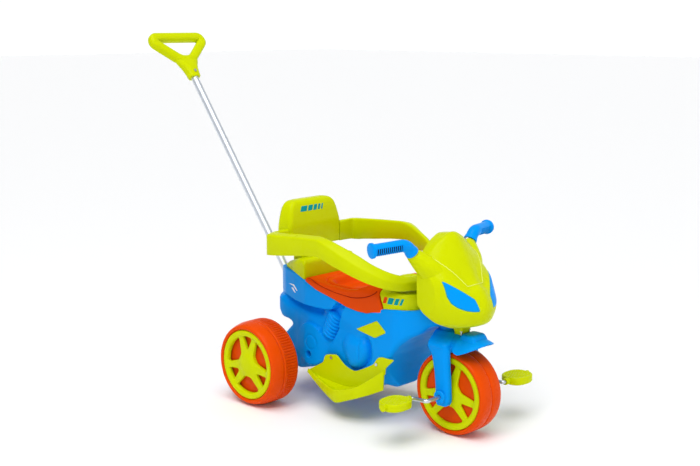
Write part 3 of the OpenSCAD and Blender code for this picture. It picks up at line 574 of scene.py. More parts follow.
def body_half(side):
    outline = rounded(TOP_LINE + UNDERSIDE + ARCH + [(480, 271), (512, 279)], 8, 4)
    coil_line = [(COIL_FOOT[0] - 8 + t * 29, 200 + t * 62) for t in (0, 0.5, 1)]
    sheet = Sheet(
        outline, step=5, rings=(0.4, 1.3, 3, 5.5, 9, 13), holes=[circle(HUB_HOLE, HUB_HOLE_R, 32)],
        lines=[
            PANEL_EDGE, CREASE, circle(DISC, DISC_R, 60, 70, 230), circle(BULGE, BULGE_R, 90),
            circle(RING, RING_R, 40), coil_line, [(SLIT_X, 150), (SLIT_X, 218)],
            [(p[0] + 30, p[1]) for p in coil_line],
        ], spread=1.6)
    top_edge = np.array(TOP_LINE, float)
    hole = np.array(HUB_HOLE, float)

    def skin(uv, edge):
        width = body_half_width(uv[:, 0], uv[:, 1])
        soft = 3 + 9 * smooth(distance(uv, top_edge, closed=False), 6, 30)
        soft = np.where(np.linalg.norm(uv - hole, axis=1) < 22, 2, soft)
        width = width - np.array([float(edge_round(e, r)) for e, r in zip(edge, soft)])
        return at_y(uv, side * np.maximum(width, 6))

    def inwards(uv, row):
        near_hole = np.linalg.norm(uv - hole, axis=1).max() < HUB_HOLE_R + 4
        return at_y(uv, row[:, 1] - side * 30 if near_hole else 0)

    half = SIDES[side]
    points, faces = sheet.mesh(skin, [inwards])
    piece(f"body_half_{half}", points, faces, "blue", "chassis", [f"body_shell_{half}"], sharp=34)
    # A near-black disc deep in the hub's hole: painted shade where the hole's inside falls dark
    floor = [(0.01, HUB_HOLE_Y), (11.5, HUB_HOLE_Y), (11.5, HUB_HOLE_Y - 2), (0.01, HUB_HOLE_Y - 2)]
    centre = (HUB_HOLE[0], 0, HUB_HOLE[1])
    piece(f"hub_hole_shade_disc_{half}", *lathe(centre, side, floor, 24), "dark", "chassis")
    # The spring relief: rings that lean forward, on a rounded bar
    count = 84
    bar = [COIL_FOOT + (COIL_TOP - COIL_FOOT) * t for t in np.linspace(-0.06, 1.06, count)]
    length = np.linalg.norm(COIL_TOP - COIL_FOOT) * 1.12

    def coil(i, out, r):
        turn = (i / (count - 1) * length + 6 * out.x) / COIL_PITCH
        return r * (0.76 + 0.24 * abs(math.cos(math.pi * turn)) ** 0.6)

    radii = [
        COIL_R * math.sqrt(max(0.02, 1 - (max(0, abs(t) - 0.82) / 0.18) ** 2))
        for t in np.linspace(-1, 1, count)
    ]
    points, faces = sweep([(a[0], side * COIL_Y, a[1]) for a in bar], radii, 40, coil)
    piece(f"spring_relief_{half}", points, faces, "blue", "chassis", sharp=60)


for side in SIDES:
    body_half(side)

# ------------------------------------------------------------ seat, deck, backrest and tank

SEAT_FRONT = ([308, 328, 344, 360, 381], [367, 358, 352, 354, 345])


def seat_front(z):
    return np.interp(z, *SEAT_FRONT)


def cover(name, outline, height, radius, paint, replaces, bend=lambda p: p, lines=(), step=5):
    """A moulded cover: a skin over a plan outline, with sides down to the body's top line."""
    sheet = Sheet(outline, step, rings=(0.4, 1.2, 2.6, 4.6, 7), lines=lines)

    def skin(uv, edge):
        x, y = uv[:, 0], uv[:, 1]
        return bend(np.stack([x, y, height(x, y) - edge_round(edge, radius)], 1))

    def side_row(share):
        def row(uv, above):
            low = top_z(np.clip(uv[:, 0], -48, 492)) + 0.3
            z = above[:, 2] + (low - above[:, 2]) * share
            return bend(np.stack([uv[:, 0], uv[:, 1], z], 1))
        return row

    points, faces = sheet.mesh(skin, [side_row(s) for s in (0.2, 0.25, 0.34, 0.5, 1)])
    return piece(name, points, faces, paint, "chassis", replaces)


PAN = (216, 82, 67)  # middle, half length, half width


def pan_line(share, count=90):
    corners = [squarish(a, 0.62) for a in np.linspace(0, 2 * math.pi, count)]
    return [(PAN[0] + share * PAN[1] * u, share * PAN[2] * v) for u, v in corners]


def seat_height(x, y):
    rim = eased(x, [86, 127, 176, 243, 272, 300, 325, 349], [349, 344, 339, 338, 343, 354, 370, 376], 7)
    crown = eased(np.abs(y), [0, 58, 90, 101], [377, 375, 361, 343], 4)
    z = np.minimum(rim, crown)
    share = (np.abs((x - PAN[0]) / PAN[1]) ** 3.2 + np.abs(y / PAN[2]) ** 3.2) ** (1 / 3.2)
    sunk = 1 - smooth(share, 0.84, 1.04)
    z = z + (322.3 - z) * sunk
    return z + 1.8 * np.exp(-((share - 1.12) / 0.028) ** 2) - 4 * np.exp(-((share - 1.2) / 0.024) ** 2)


def seat_bend(p):
    p = np.array(p, float)
    p[:, 0] += smooth(p[:, 0], 325, 349) * (seat_front(p[:, 2]) - 349)
    return p


def mirrored(right):
    """A plan outline from its right side's points."""
    return right + [(x, -y) for x, y in right[::-1]]


cover(
    "seat_moulding", rounded(mirrored([(86.5, -100.5), (210, -101), (349, -99.5)]), 4),
    seat_height, 7, "seat", ["seat"], seat_bend,
    lines=[pan_line(share) for share in (0.84, 1.04, 1.13, 1.2)], step=4.5)

# A dark orange tube along each side of the seat: painted shadow under the pan's rim
SEAT_SHADOW_LINE = [
    (100, 348), (113, 347), (142, 336), (187, 327), (227, 323), (270, 322), (313, 331), (341, 344),
    (350, 352),
]
for side, half in SIDES.items():
    shadow_line = spline([(x, side * 100.7, z) for x, z in SEAT_SHADOW_LINE], 6)
    piece(f"seat_shadow_line_{half}", *sweep(shadow_line, [1.0] * len(shadow_line), 8), "shade", "chassis")


def tank_height(x, y):
    along = eased(x, [352, 362, 372, 390, 412, 440, 456], [382, 379, 373, 361, 355, 352, 344], 5)
    beside = eased(np.abs(y), [0, 40, 62, 88, 98], [381, 378, 362, 357, 348], 4)
    return np.minimum(along, beside)


def tank_bend(p):
    p = np.array(p, float)
    p[:, 0] += (1 - smooth(p[:, 0], 353, 376)) * (seat_front(p[:, 2]) + 0.8 - 352.6)
    return p


cover(
    "tank_moulding", rounded(mirrored([(352.6, -98.5), (400, -98), (432, -84), (456, -58)]), 12),
    tank_height, 6, "lime", ["tank_cover"], tank_bend)


def deck_height(x, y):
    return eased(x, [-48, -20, 40, 64, 84], [363, 372, 391, 395, 395], 6)


def deck_bend(p):
    p = np.array(p, float)
    p[:, 2] = np.maximum(p[:, 2], top_z(np.clip(p[:, 0], -48, 86)) + 0.4)
    return p


cover(
    "rear_deck", rounded(mirrored([(-49, -40), (-26, -60), (32, -86), (83.5, -99)]), 5),
    deck_height, 13, "lime", [], deck_bend)

BACK_ROWS = [
    (415.4, -20, 23, 94, 4), (416, -22, 25, 97, 6), (419, -24, 27, 98.8, 8), (440, -24, 28.5, 99, 10),
    (458, -24, 30, 99, 12), (480, -24, 31, 98.5, 14), (508, -23.5, 27, 93, 15), (524, -22, 24, 88, 14),
    (534, -20, 21, 83, 13), (541, -17.5, 17.5, 76, 12), (545, -13.5, 13, 67, 10), (547, -8, 8, 55, 7),
]
piece("backrest_block", *stack(spline(BACK_ROWS, 4), 6), "lime", "chassis", ["backrest"], sharp=50)
# The post's grooves go round it
post_rows = []
for k in range(11):
    for up, inset in ((0, 0), (3.2, 0), (3.6, 1), (4.2, 1)):
        post_rows.append((370 + 4.4 * k + up, -15 + inset, 22 - inset, 46 - inset, 5))
piece("backrest_post", *stack(post_rows, 4), "lime", "chassis", sharp=30)

# ------------------------------------------------------------ guard ring

# Inner x and y, outer x and y, then the heights of the crest, the outer edge and the underside
RING_HALF = [
    (26, 99.4, -14, 99.4, 472, 466, 415), (26, 125, -1, 125, 472, 466, 415),
    (26, 146, 9, 149, 473, 467, 414), (32, 154, 18, 174, 473, 467, 413),
    (46, 155.5, 32, 182, 474, 468, 414), (70, 155.5, 70, 183.5, 476, 470, 418),
    (110, 154.5, 110, 182.5, 479, 473, 423), (160, 154.5, 160, 182.5, 482, 476, 430),
    (205, 155, 205, 183, 484, 478, 434), (222, 155, 223, 183, 482, 477, 433),
    (240, 153.5, 244, 181, 478, 469, 426), (260, 150, 265, 177, 471, 458, 417),
    (290, 143, 298, 170, 459, 443, 405), (320, 133, 330, 159, 445, 426, 392),
    (350, 118, 364, 143, 426, 409, 379), (380, 97, 398, 118, 409, 391, 367),
    (400, 75, 422, 92, 399, 383, 362), (412, 50, 439, 60, 394, 384, 362),
    (417, 26, 445, 30, 392, 382, 361), (418, 0, 446, 0, 391, 380, 359),
]
# The rail's section: share across, level (0 underside, 1 outer edge, 2 crest), offset
RAIL = [
    (0, 0, 0), (0, 2, -6), (0.03, 2, -2.6), (0.09, 2, -0.8), (0.18, 2, 0), (0.32, 2, -0.2),
    (0.5, 1.72, 0.2), (0.7, 1.4, 0.6), (0.88, 1.08, 1), (0.95, 1, 0.4), (0.985, 1, -1.6), (1, 1, -4.5),
    (1, 0, 0.8), (0.985, 0, 0), (0.89, 0, 0), (0.875, 0, 0.8), (0.875, 1, -6), (0.3, 2, -5),
    (0.125, 2, -5), (0.125, 0, 0.8), (0.11, 0, 0), (0.015, 0, -0.6),
]
ring_path = RING_HALF + [(xi, -yi, xo, -yo, *z) for xi, yi, xo, yo, *z in RING_HALF[-2::-1]]
stations = spline(ring_path, 6)
ring_points = []
for xi, yi, xo, yo, crest, edge, low in stations:
    for u, level, up in RAIL:
        z = float(np.interp(level, (0, 1, 2), (low, edge, crest))) + up
        ring_points.append((xi + (xo - xi) * u, yi + (yo - yi) * u, z))
faces = tube_faces(len(stations), len(RAIL))
piece("guard_rail", ring_points, faces, "lime", "chassis", ["guard_ring"], sharp=45)

# ------------------------------------------------------------ footrests

FOOT_WALL = [
    (99, 92), (143, 81), (185, 77), (235, 75), (262, 79), (300, 89), (326, 99), (356, 123), (382, 138),
    (381, 155), (413, 184), (390, 182), (367, 183), (355, 178), (340, 157), (300, 136), (275, 125),
    (257, 127), (238, 134), (221, 146), (209, 157), (176, 152), (164, 146), (159, 127),
]
FOOT_SCREWS = [(190, 145), (352, 160)]
FOOT_Y = 100.3
TRAY = [
    (101.5, 104, 95.5, 88), (143, 118, 87, 74), (185, 134, 82, 64), (235, 151, 79, 53),
    (262, 156, 82, 50), (300, 154, 93, 64), (326, 149, 104, 74), (356, 126, 128, 86), (380, 106, 150, 98),
]


def tray_section(reach, top, low):
    """A loop of y and z: a sunk floor, the rim's lip, its outer wall and the underside."""
    inner = FOOT_Y + 1.5
    deep = min(3.5, (reach - FOOT_Y) * 0.15)
    upper = [
        (inner, top - 1), (inner + (reach - inner) * 0.4, top - 1 - deep), (reach - 9, top - 1 - deep * 0.6),
        (reach - 4.5, top),
    ]
    lip = [
        (reach - 1.5, top + 1.2), (reach + 0.6, top), (reach + 4, low + 1), (reach + 3.4, low),
        (reach + 1, low), (reach + 0.4, low + 1), (reach - 3, top - 3.5),
        (max(inner - 0.6, reach - 8), top - 5), (inner, top - 5 - deep),
    ]
    return [(max(inner, y), z) for y, z in upper] + lip


for side, half in SIDES.items():
    holes = [circle(p, 2.4, 14) for p in FOOT_SCREWS]
    wall = Sheet(rounded(FOOT_WALL, 7, 4), 5, rings=(0.4, 1.2, 2.2), holes=holes)
    points, faces = wall.mesh(
        lambda uv, edge: at_y(uv, side * (FOOT_Y + 3.5 - edge_round(edge, 1.4))),
        [lambda uv, row: at_y(uv, side * FOOT_Y)])
    piece(f"footrest_wall_{half}", points, faces, "lime", "chassis", [f"footrest_{half}"])
    stations = spline(TRAY, 5)
    points = [(x, side * y, z) for x, *line in stations for y, z in tray_section(*line)]
    piece(f"footrest_tray_{half}", points, tube_faces(len(stations), 13), "lime", "chassis", sharp=42)

# ------------------------------------------------------------ badges

BADGE = [(277, 240), (344, 228), (382, 249), (350, 275)]
for side, half in SIDES.items():
    badge = Sheet(rounded(BADGE, 3, 3), 6, rings=(0.4, 1.2, 2.4))
    points, faces = badge.mesh(
        lambda uv, edge: at_y(uv, side * (102.3 - edge_round(edge, 2))),
        [lambda uv, row: at_y(uv, side * 98)])
    piece(f"badge_{half}", points, faces, "lime", "chassis", ["side_badges"] if side < 0 else [])

# ------------------------------------------------------------ wheels

REAR_OUTER = [
    (6.1, 226), (30, 226), (60, 222), (90, 222), (95.4, 224), (95.6, 234), (96.4, 237.5), (98.5, 240),
    (102, 240.8), (105, 239.6), (107.6, 236), (109.6, 231), (111.8, 223), (113.6, 214.5), (114.8, 208.5),
    (114.6, 206), (113, 204.6), (110, 204.2),
]
REAR_INNER = [
    (110, 203.8), (112.6, 203.4), (114.2, 202.2), (114.9, 200), (115, 198), (115, 194), (115, 185),
    (115, 175), (115, 165), (115, 162), (114.4, 158), (112.6, 153), (109, 149.6), (104, 148.4),
    (99, 149.2), (96.5, 152.5), (94, 158), (60, 160), (26, 160), (24, 157), (23, 149), (6.1, 148.2),
]
FRONT_HALF = [
    (5.1, 30), (60, 29), (92, 30), (95.2, 31), (95.5, 37.5), (97, 40), (100, 41), (103.4, 39.6),
    (106.4, 36), (108.2, 30.5), (109, 22), (109, 10), (108.6, 4.5), (107.6, 2.4), (105.6, 1.3),
    (104.6, 0.3), (60, 0.3), (5.1, 0.3),
]
RIBS = 92


def ribbed(r, y, a):
    band = smooth(y, 157, 164) * (1 - smooth(y, 192, 197)) * (1 if r > 112 else 0)
    return r - 2.4 * float(band) * float(smooth(math.cos(a * RIBS), -0.3, 0.4))


for side, half in SIDES.items():
    rear = f"rear_wheel_{half}"
    tread = lathe(REAR_AXLE, side, REAR_OUTER, 128)
    ribs = lathe(REAR_AXLE, side, REAR_INNER, RIBS * 6, ribbed)
    front = lathe(FRONT_AXLE, side, FRONT_HALF, 128)
    piece(f"rear_tread_{half}", *tread, "orange", rear, [f"{rear}_outer"], sharp=50)
    piece(f"rear_ribs_{half}", *ribs, "orange", rear, [f"{rear}_inner"], sharp=50)
    piece(f"front_tread_{half}", *front, "orange", "front_wheel", [f"front_wheel_{half}"], sharp=50)


def cap_window(angle, r_in, half_in, r_out, half_out):
    """A window's outline: narrow towards the hub, an arc towards the rim."""
    arc = [math.radians(h) for h in np.linspace(-half_out, half_out, 9)]
    flat = [(r_in, half_in), (r_in, -half_in)] + [(r_out * math.cos(h), r_out * math.sin(h)) for h in arc]
    c, s = math.cos(math.radians(angle)), math.sin(math.radians(angle))
    turned = [(c * u - s * v, s * u + c * v) for u, v in flat]
    return rounded(turned, 6, 4)


def hub_cap(name, centre, profile, floor, body, node, side, bore=None):
    holes = [cap_window(90 + 120 * k, 42, 3, 78, 13.5) for k in range(3)]
    holes += [cap_window(30 + 120 * k, 33, 11, 78, 34.5) for k in range(3)]
    if bore:
        holes.append(circle((0, 0), bore, 24))
    radii, heights = zip(*profile)
    lines = [circle((0, 0), r, 100) for r in (80, 90)]
    sheet = Sheet(circle((0, 0), radii[-1], 120), 4.5, rings=(0.4, 1.2, 2.4), holes=holes, lines=lines)

    def at(uv, y):
        return at_y(uv, side * y) + (centre[0], 0, centre[2])

    def skin(uv, edge):
        return at(uv, np.interp(np.hypot(uv[:, 0], uv[:, 1]), radii, heights) - edge_round(edge, 2))

    points, faces = sheet.mesh(skin, [lambda uv, row: at(uv, floor)])
    piece(name, points, faces, "lime", body, [node], sharp=40)


REAR_CAP = [
    (0, 241.4), (12, 241.2), (22, 240), (32, 237), (44, 235.4), (70, 234.6), (77, 235.2), (81, 238.4),
    (86, 239.6), (91, 239.6), (95, 237.6),
]
FRONT_CAP = [
    (0, 42.4), (12, 42.4), (20, 41.6), (30, 38.6), (44, 37), (70, 36), (77, 36.6), (81, 39), (86, 40.4),
    (90.5, 40.4), (94.6, 38.6),
]
for side, half in SIDES.items():
    rear = f"rear_wheel_{half}"
    hub_cap(f"rear_hub_cap_{half}", REAR_AXLE, REAR_CAP, 226.6, rear, f"rear_cap_{half}", side)
    hub_cap(f"front_hub_cap_{half}", FRONT_AXLE, FRONT_CAP, 31, "front_wheel", f"front_cap_{half}", side, 5.2)

# ------------------------------------------------------------ crank and pedals

ARM_Y, PIN_END, CRANK_R = 125, 233, 5
crank_path = [
    (at.x, y, at.z) for at, y in (
        (PEDALS[-1], -PIN_END), (PEDALS[-1], -ARM_Y), (FRONT_AXLE, -ARM_Y),
        (FRONT_AXLE, ARM_Y), (PEDALS[1], ARM_Y), (PEDALS[1], PIN_END))
]
bent = rounded(crank_path, 11, 8, closed=False)
piece("crank_rod", *sweep(bent, [CRANK_R] * len(bent), 28), "steel", "front_wheel", ["crank"])


def pedal(side):
    half = SIDES[side]
    centre = PEDALS[side]
    corners = [squarish(a, 0.8) for a in np.linspace(0, 2 * math.pi, 80, endpoint=False)]
    sheet = Sheet([(35 * u, 41 * v) for u, v in corners], 2.6, rings=(0.4, 1.2, 2.4, 4))

    def skin(uv, edge):
        u, v = uv[:, 0], uv[:, 1]
        cells = np.cos(2 * math.pi * (u + 0.5 * v) / 16) * np.cos(2 * math.pi * (v - 0.25 * u) / 14)
        z = 10 - edge_round(edge, 3.2) - 2.2 * smooth(np.abs(cells), 0.35, 0.6) * smooth(edge, 6, 8)
        z = z - 1.1 * smooth(edge, 4, 5.5)
        return np.stack([centre.x + u, side * 186 + v, centre.z + z], 1)

    def flipped(points):
        return points * (1, 1, -1) + (0, 0, 2 * centre.z)

    body = f"pedal_{half}"
    piece(f"pedal_block_{half}", *sheet.mesh(skin, mirror=flipped), "lime", body, [body], sharp=48)
    boss = lathe(centre, side, [(5.2, 150), (8, 150), (8.8, 146), (8.8, 133), (8, 131.4), (5.2, 131.4)], 32)
    piece(f"pedal_boss_{half}", *boss, "lime", body)


for side in SIDES:
    pedal(side)

# ------------------------------------------------------------ fork and fender


def column_point(s):
    return FRONT_AXLE + STEER_AXIS * s


LEG = [
    (83, 521, 550, 4), (88, 517, 555, 7), (98, 515, 559, 9), (112, 515, 559, 10), (140, 513, 558, 11),
    (180, 508, 555, 11), (210, 500, 553, 11), (224, 490, 553, 10), (232, 488, 551, 9), (238, 492, 548, 8),
]
CLIP = [(5.4, 73), (9, 73), (15, 73), (16.5, 74.5), (16.5, 77), (15, 78.4), (7, 78.4), (5.4, 77)]
stations = spline(LEG, 3)
for side, half in SIDES.items():
    rows = []
    for z, x0, x1, radius in stations:
        outer = 72 - 3 * (1 - smooth(z, 83, 100))
        box = rounded([(x0, 47), (x1, 47), (x1, outer), (x0, outer)], radius, 6)
        middle = (x0 + x1) / 2
        for x, y in box:
            crown = 1 - 0.28 * ((x - middle) / (x1 - x0) * 2) ** 2
            rows.append((x, side * (47 + (y - 47) * crown), z))
    faces = tube_faces(len(stations), 28)
    piece(f"fork_leg_{half}", rows, faces, "blue", "steering", ["fork"] if side < 0 else [], sharp=55)
    piece(f"axle_clip_{half}", *lathe(FRONT_AXLE, side, CLIP, 40), "blue", "steering")

crown = spline([
    (218, 492, 548, 46, 8), (226, 489, 550, 66, 12), (236, 488, 550, 69, 14), (244, 487, 549, 64, 15),
    (251, 485, 546, 52, 16), (257, 482, 541, 41, 17), (262, 481, 536, 35, 17), (265, 484, 532, 31, 15),
], 3)
piece("fork_crown", *stack(crown, 6), "blue", "steering", sharp=55)
column = [column_point(s) for s in (150, 160, 166, 168, 214, 216, 300, 336, 338)]
piece("steering_column", *sweep(column, [22, 22, 22, 18, 18, 18, 18, 18, 17], 40), "blue", "steering")
tube = [column_point(s) for s in (168.2, 169.5, 212.5, 213.8)]
piece("head_tube", *sweep(tube, [25.5, 27, 27, 25.5], 48), "blue", "chassis")

fender_rows = []
FENDER = [
    (541, 45, 263, 240), (552, 46, 263, 236), (562, 56, 262, 226), (575, 58, 260, 221),
    (590, 57, 258, 226), (604, 52, 255.5, 232), (616, 42, 252.5, 238), (625, 29, 249.5, 243),
    (631, 14, 247.5, 246),
]
shares = np.linspace(-1, 1, 33)
stations = spline(FENDER, 4)
for x, half_w, crest, low in stations:
    fender_rows += [(x, half_w * t, crest - (crest - low) * abs(t) ** 2.3) for t in shares]
faces = grid_faces(len(stations), len(shares))
piece("fender_skin", fender_rows, faces, "blue", "steering", ["fender"], thick=2.6)
block = spline([
    (246, 558, 610, 31, 8), (252, 560, 608, 29, 8), (259, 562, 605, 27, 8), (263, 564, 602, 25.5, 8),
    (265.5, 567, 598, 22, 7), (266, 575, 590, 14, 5),
], 3)
piece("fender_block", *stack(block, 5), "blue", "steering")

# ------------------------------------------------------------ grips

GRIP_END, ELBOW, ARM_IN = (447, 231, 489), (476, 135, 494), (480, 106, 463)
GRIP_R = 15.5


def on_side(p, side):
    return Vector((p[0], side * p[1], p[2]))


def walk(points, step):
    """Points along a line of segments, step apart, and how far along each is."""
    p = [Vector(q) for q in points]
    result, along, total = [], [], 0
    for a, b in zip(p[:-1], p[1:]):
        count = max(1, int(round((b - a).length / step)))
        for k in range(count):
            result.append(a.lerp(b, k / count))
            along.append(total + (b - a).length * k / count)
        total += (b - a).length
    return result + [p[-1]], along + [total]


def grip_mouth(side):
    elbow, arm = on_side(ELBOW, side), on_side(ARM_IN, side)
    return elbow + (arm - elbow).normalized() * 30


for side, half in SIDES.items():
    end, elbow, mouth = on_side(GRIP_END, side), on_side(ELBOW, side), grip_mouth(side)
    line, along = walk(rounded([end, elbow, mouth], 15, 8, closed=False), 0.7)
    hand = (elbow - end).length

    def grip_shape(i, out, r):
        s = along[i]
        flange = 3.8 * (1 - smooth(abs(s - 3.6), 2.6, 5.2)) - 2.4 * (1 - smooth(s, 0, 1.6))
        ribs = smooth(math.cos(2 * math.pi * s / 5.6), -0.1, 0.5)
        under = smooth(0.75 * out.x - 0.8 * out.z, 0.35, 0.6)
        bell = 2 * smooth(s, hand + 12, hand + 26)
        return r + flange + bell - 5 * under * (1 - ribs) * smooth(s, 9, 11) * (1 - smooth(s, 84, 86))

    rows, _ = sweep(line, [GRIP_R] * len(line), 48, grip_shape)
    inward = (line[-2] - line[-1]).normalized()
    # The mouth: the skin turns in and ends on a floor
    last = rows[-48:]
    rows = rows[:-48]
    for out, deep in ((0.985, 0.4), (0.93, 0), (0.8, 0), (0.74, 1), (0.73, 9)):
        rows += [line[-1] + (p - line[-1]) * out + inward * deep for p in last]
    # A near-black core under the grip's ribs: painted shade at the bottom of the grooves
    piece(f"grip_groove_shade_{half}", *sweep(line[14:118], [GRIP_R - 1.9] * 104, 32), "dark", "steering")
    faces = tube_faces(len(rows) // 48, 48)
    piece(f"grip_sleeve_{half}", rows, faces, "blue", "steering", [f"grip_{half}"], sharp=45)

# ------------------------------------------------------------ mask

# The mask's outline at distances from the middle plane, from the top of the rear edge
# over the nose to the bottom of the rear edge
MASK = {
    0: [(472, 508), (500, 512), (520, 509), (556, 452), (588, 396), (603, 383), (621, 356), (629, 331),
        (624, 306), (612, 293), (580, 284), (556, 278), (538, 278)],
    30: [(474, 500), (500, 504), (517, 500), (552, 449), (583, 391), (600, 376), (615, 352), (622, 331),
         (617, 306), (605, 293), (578, 285), (556, 280), (538, 280)],
    62: [(476, 480), (498, 484), (514, 479), (544, 443), (573, 402), (588, 382), (601, 356), (606, 334),
         (600, 312), (588, 298), (568, 290), (550, 287), (536, 289)],
    88: [(480, 456), (496, 459), (514, 452), (532, 434), (558, 407), (568, 390), (575, 364), (577, 346),
         (572, 324), (560, 308), (546, 301), (528, 302), (496, 326)],
    100: [(484, 438), (494, 440), (505, 436), (518, 424), (534, 408), (542, 392), (547, 370), (547, 352),
          (542, 336), (534, 326), (522, 319), (508, 319), (486, 338)],
}
CREST = [(515, 90, 468), (549, 59, 429), (581, 30, 389), (588, 0, 389)]


def mask_grid():
    """Rows of points across the mask, from its right to its left."""
    half = [[(x, y, z) for x, z in line] for y, line in sorted(MASK.items())]
    outer = np.array(half[-1], float)
    middle = (outer[0] + outer[-1]) / 2
    for share, y in ((0.9, 102.2), (0.66, 103.2), (0.33, 103.6), (0.02, 103.7)):
        shrunk = middle + (outer - middle) * share
        shrunk[:, 1] = y
        half.append([tuple(p) for p in shrunk])
    lines = [[(x, -y, z) for x, y, z in line] for line in half[:0:-1]] + half
    along = np.stack([spline(line, 5) for line in lines], 1)
    return np.stack([spline(row, 6) for row in along], 1)


grid = mask_grid()
rows_count, wide = grid.shape[:2]
normals = np.cross(np.gradient(grid, axis=0), np.gradient(grid, axis=1))
normals = normals / np.maximum(np.linalg.norm(normals, axis=2, keepdims=True), 1e-6)
if normals[rows_count // 2, wide // 2, 0] < 0:
    normals = -normals
flat = grid.reshape(-1, 3)
crest = distance(np.abs(flat * (0, 1, 0)) + flat * (1, 0, 1), np.array(CREST, float), closed=False)
lift = 3.2 * np.maximum(0, 1 - crest / 12) ** 1.3
mask_points = flat + normals.reshape(-1, 3) * lift[:, None]
mask_faces = grid_faces(rows_count, wide)
piece("mask_skin", mask_points, mask_faces, "lime", "steering", ["mask"], sharp=60, thick=3)
mask_tree = BVHTree.FromPolygons([Vector(p) for p in mask_points], mask_faces)
# A thin bead along each crest, lighter than the lime: painted highlight along the crease
for side, half in SIDES.items():
    bead = [mask_tree.find_nearest(p)[0] for p in walk([on_side(p, side) for p in CREST], 3)[0]]
    piece(f"mask_highlight_bead_{half}", *sweep(bead, [0.9] * len(bead), 10), "lime_light", "steering")

for side, half in SIDES.items():
    mouth, arm = grip_mouth(side), on_side(ARM_IN, side)
    start = mouth + (arm - mouth).normalized() * 0.8
    # A horn: round where the grip ends, tall and flat where it runs into the mask's side
    horn = [
        (start, 15, 15), (start + Vector((2, -side * 6, -8)), 19, 20),
        (on_side((492, 95, 448), side), 26, 25), (on_side((505, 83, 431), side), 32, 27),
        (on_side((516, 67, 410), side), 38, 28),
    ]
    centres = spline([tuple(c) for c, _, _ in horn], 6)
    steps = np.arange(len(centres))
    highs, wides = (np.interp(steps, steps[::6], [h[k] for h in horn]) for k in (1, 2))

    def horn_shape(i, out, _):
        return 1 / math.sqrt((out.y / wides[i]) ** 2 + ((1 - out.y ** 2) / highs[i] ** 2))

    rows, _ = sweep(centres, highs, 40, horn_shape)
    first = rows[:40]
    back = Vector(centres[1] - centres[0]).normalized()
    rows = [
        start + (p - start) * share + back * deep
        for share, deep in ((0.7, 8), (0.76, 0), (0.96, 0)) for p in first
    ] + rows
    piece(f"mask_arm_{half}", rows, tube_faces(len(rows) // 40, 40), "lime", "steering", sharp=50)

tab = stack([
    (256, 538, 556, 15, 4), (258, 536, 558, 17, 5), (272, 534, 561, 20, 6), (284, 533, 565, 21, 6),
    (292, 533, 567, 22, 6),
])
piece("mask_tab", *tab, "lime", "steering", sharp=50)


def projected(outline, origin, axis, tree, lift, step=4, into=2.5):
    """A thin plate that lies on a surface, from its outline on a flat plane before it."""
    sheet = Sheet(outline, step, rings=(0.4, 1.2))
    towards = Vector((-1, 0, 0)) if axis == 0 else Vector((0, -math.copysign(1, origin), 0))

    def skin(uv, edge):
        found = []
        for (u, v), e in zip(uv, edge):
            p = Vector((origin, u, v) if axis == 0 else (u, origin, v))
            hit, normal, _, _ = tree.ray_cast(p, towards)
            if hit is None:
                hit, normal, _, _ = tree.find_nearest(p + towards * abs(origin) * 0.1)
            if normal.dot(towards) > 0:
                normal = -normal
            found.append(tuple(hit + normal * (lift - float(edge_round(e, min(0.6, lift))))))
        return found

    return sheet.mesh(skin, [lambda uv, row: [tuple(Vector(p) + towards * into) for p in row]])


LIGHT = [
    (91, 409), (60, 384.5), (32, 362), (28, 334), (45, 335.5), (62, 340), (75, 347), (84, 356), (89, 372),
]
for side, half in SIDES.items():
    shape = rounded([(side * y, z) for y, z in LIGHT], 3, 3)
    middle = shape.mean(0)
    out = shape - middle
    rim = middle + out * (1 + 2.0 / np.linalg.norm(out, axis=1))[:, None]
    piece(f"light_rim_{half}", *projected(rim, 700, 0, mask_tree, 0.5), "teal", "steering")
    lens = projected(shape, 700, 0, mask_tree, 1.2)
    piece(f"headlight_lens_{half}", *lens, "blue", "steering", [f"headlight_{half}"])

# ------------------------------------------------------------ push handle

PUSH_MOUTH = Vector((-99, 0, 338))
PUSH_LEAN = math.asin(0.59622)
PUSH_UP = Vector((-math.sin(PUSH_LEAN), 0, math.cos(PUSH_LEAN)))
PUSH_FRONT = Vector((math.cos(PUSH_LEAN), 0, math.sin(PUSH_LEAN)))


def on_push(aside, up, front=0):
    return PUSH_MOUTH + PUSH_UP * up + PUSH_FRONT * front + Vector((0, aside, 0))


COLLAR = [(652, 16, 12.5), (653.5, 19.5, 15), (672, 22, 16), (688, 27, 16), (704, 36, 15), (716, 42, 13.5)]
rows = []
for s, wide_half, deep_half in spline(COLLAR, 4):
    for a in np.linspace(0, 2 * math.pi, 40, endpoint=False):
        u, v = squarish(a, 0.75)
        rows.append(on_push(wide_half * u, s, deep_half * v))
piece("push_collar", rows, tube_faces(len(rows) // 40, 40), "lime", "push_handle", ["push_grip"], sharp=50)
D_LOOP = [(20, 716), (54, 746), (92, 780), (86, 799), (-86, 799), (-92, 780), (-54, 746), (-20, 716)]
line, _ = walk([on_push(a, s) for a, s in rounded(D_LOOP, 24, 8)], 4)


def loop_section(_, out, r):
    front = out.dot(PUSH_FRONT)
    return r / (abs(front) ** 3 + (1 - front * front) ** 1.5) ** (1 / 3)


points, faces = sweep(line, [14] * len(line), 32, loop_section, closed=True)
piece("push_loop", points, faces, "lime", "push_handle", sharp=50)

# ------------------------------------------------------------ printed marks

def slanted(u0, v0, long, high, lean):
    return [(u0, v0), (u0 + long, v0), (u0 + long + lean, v0 + high), (u0 + lean, v0 + high)]


def tree_of(name):
    mesh = bpy.data.objects[name].data
    points = [v.co / MM for v in mesh.vertices]
    return BVHTree.FromPolygons(points, [tuple(p.vertices) for p in mesh.polygons])


